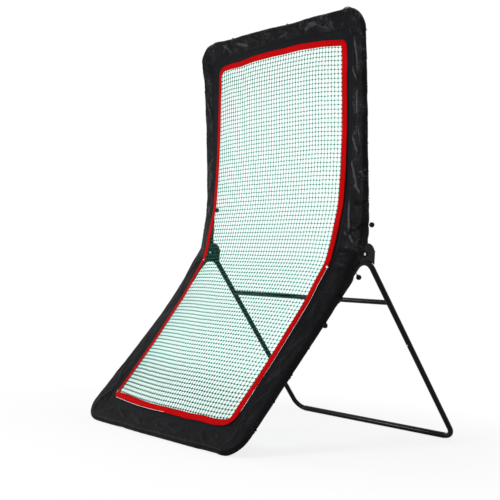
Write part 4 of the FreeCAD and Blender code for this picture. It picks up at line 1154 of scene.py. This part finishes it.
def make_floor():
    """A pale round floor that fades into the white background away from the object."""
    material, node = new_material("pale_floor")
    away = node("VectorMath", node("TexCoord", take="Object"), operation="LENGTH")
    fade = node("MapRange", away, FLOOR_NEAR, FLOOR_FADE, FLOOR_GLOW, interpolation_type="SMOOTHSTEP")
    seen = node("Math", fade, node("LightPath", take="Is Camera Ray"), operation="MULTIPLY")
    surfaced(material, lambda solid: node("MixShader", seen, solid, node("Emission", "#ffffff", 1.0)),
             Roughness=0.9, Base_Color="#f6f6f5")
    turn = np.linspace(0, 2 * np.pi, FLOOR_CORNERS, endpoint=False)
    edge = np.stack([np.cos(turn), np.sin(turn), 0 * turn], -1) * FLOOR_RADIUS
    floor = new_mesh("floor", material, edge, np.arange(FLOOR_CORNERS)[None, :])


WORLD_LIGHT = 0.42


def make_world():
    """White to the camera and in reflections; a soft even light otherwise."""
    world = bpy.data.worlds.new("studio")
    bpy.context.scene.world = world
    world.use_nodes = True
    tree = world.node_tree
    camera, through, glossy = (add(tree, "LightPath", take=f"Is {kind} Ray")
                               for kind in ("Camera", "Transmission", "Glossy"))
    shown = add(tree, "Math", camera, through, operation="MAXIMUM")
    seen = add(tree, "Math", shown, glossy, operation="MAXIMUM")
    background = tree.nodes["Background"].inputs
    feed(tree, background["Color"], "#ffffff")
    feed(tree, background["Strength"], add(tree, "MapRange", seen, 0.0, 1.0, WORLD_LIGHT))


# Each lamp's place, width and power
LAMPS = {"key": ((0.5, -4.5, 2.2), 1.2, 130), "left_glint": ((-3.3, -3.3, 1.1), 0.8, 50),
         "right_fill": ((4.5, -0.8, 2.2), 2.2, 10), "top": ((0.2, 1.6, 4.4), 1.4, 28)}
LIT_AT = Vector((0, 0, 1.0))


def make_lights():
    """Square soft lamps that face the middle of the object."""
    for name, (at, size, power) in LAMPS.items():
        data = bpy.data.lights.new(name, "AREA")
        data.size, data.energy = size, power
        lamp = bpy.data.objects.new(name, data)
        lamp.location = at
        lamp.rotation_euler = (LIT_AT - Vector(at)).to_track_quat("-Z", "Y").to_euler()
        bpy.context.scene.collection.objects.link(lamp)


# Putting the object together

make_camera()
finish_hardware()
cover = cloth_cover()
band = red_band()
mesh_net = net()
piping = edge_piping()
loops = loops_and_balls()

# The soft pieces' placements are baked into their meshes.
for piece in (cover, band, mesh_net):
    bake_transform(piece)
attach(piping, "stand")
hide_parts("upper_cover_top", "upper_cover_left", "upper_cover_right",
            "lower_cover_bottom", "lower_cover_left", "lower_cover_right")
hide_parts("upper_webbing", "lower_webbing")
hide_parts("upper_net", "lower_net")
for word, body in (("upper", "upper_frame"), ("lower", "stand")):
    cords, balls = loops[word]
    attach(cords, body)
    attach(balls, body)
    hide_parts(f"{word}_elastic_loops")
    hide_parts(f"{word}_elastic_balls")

make_floor()
make_world()
make_lights()
bpy.context.scene.view_settings.view_transform = "Standard"
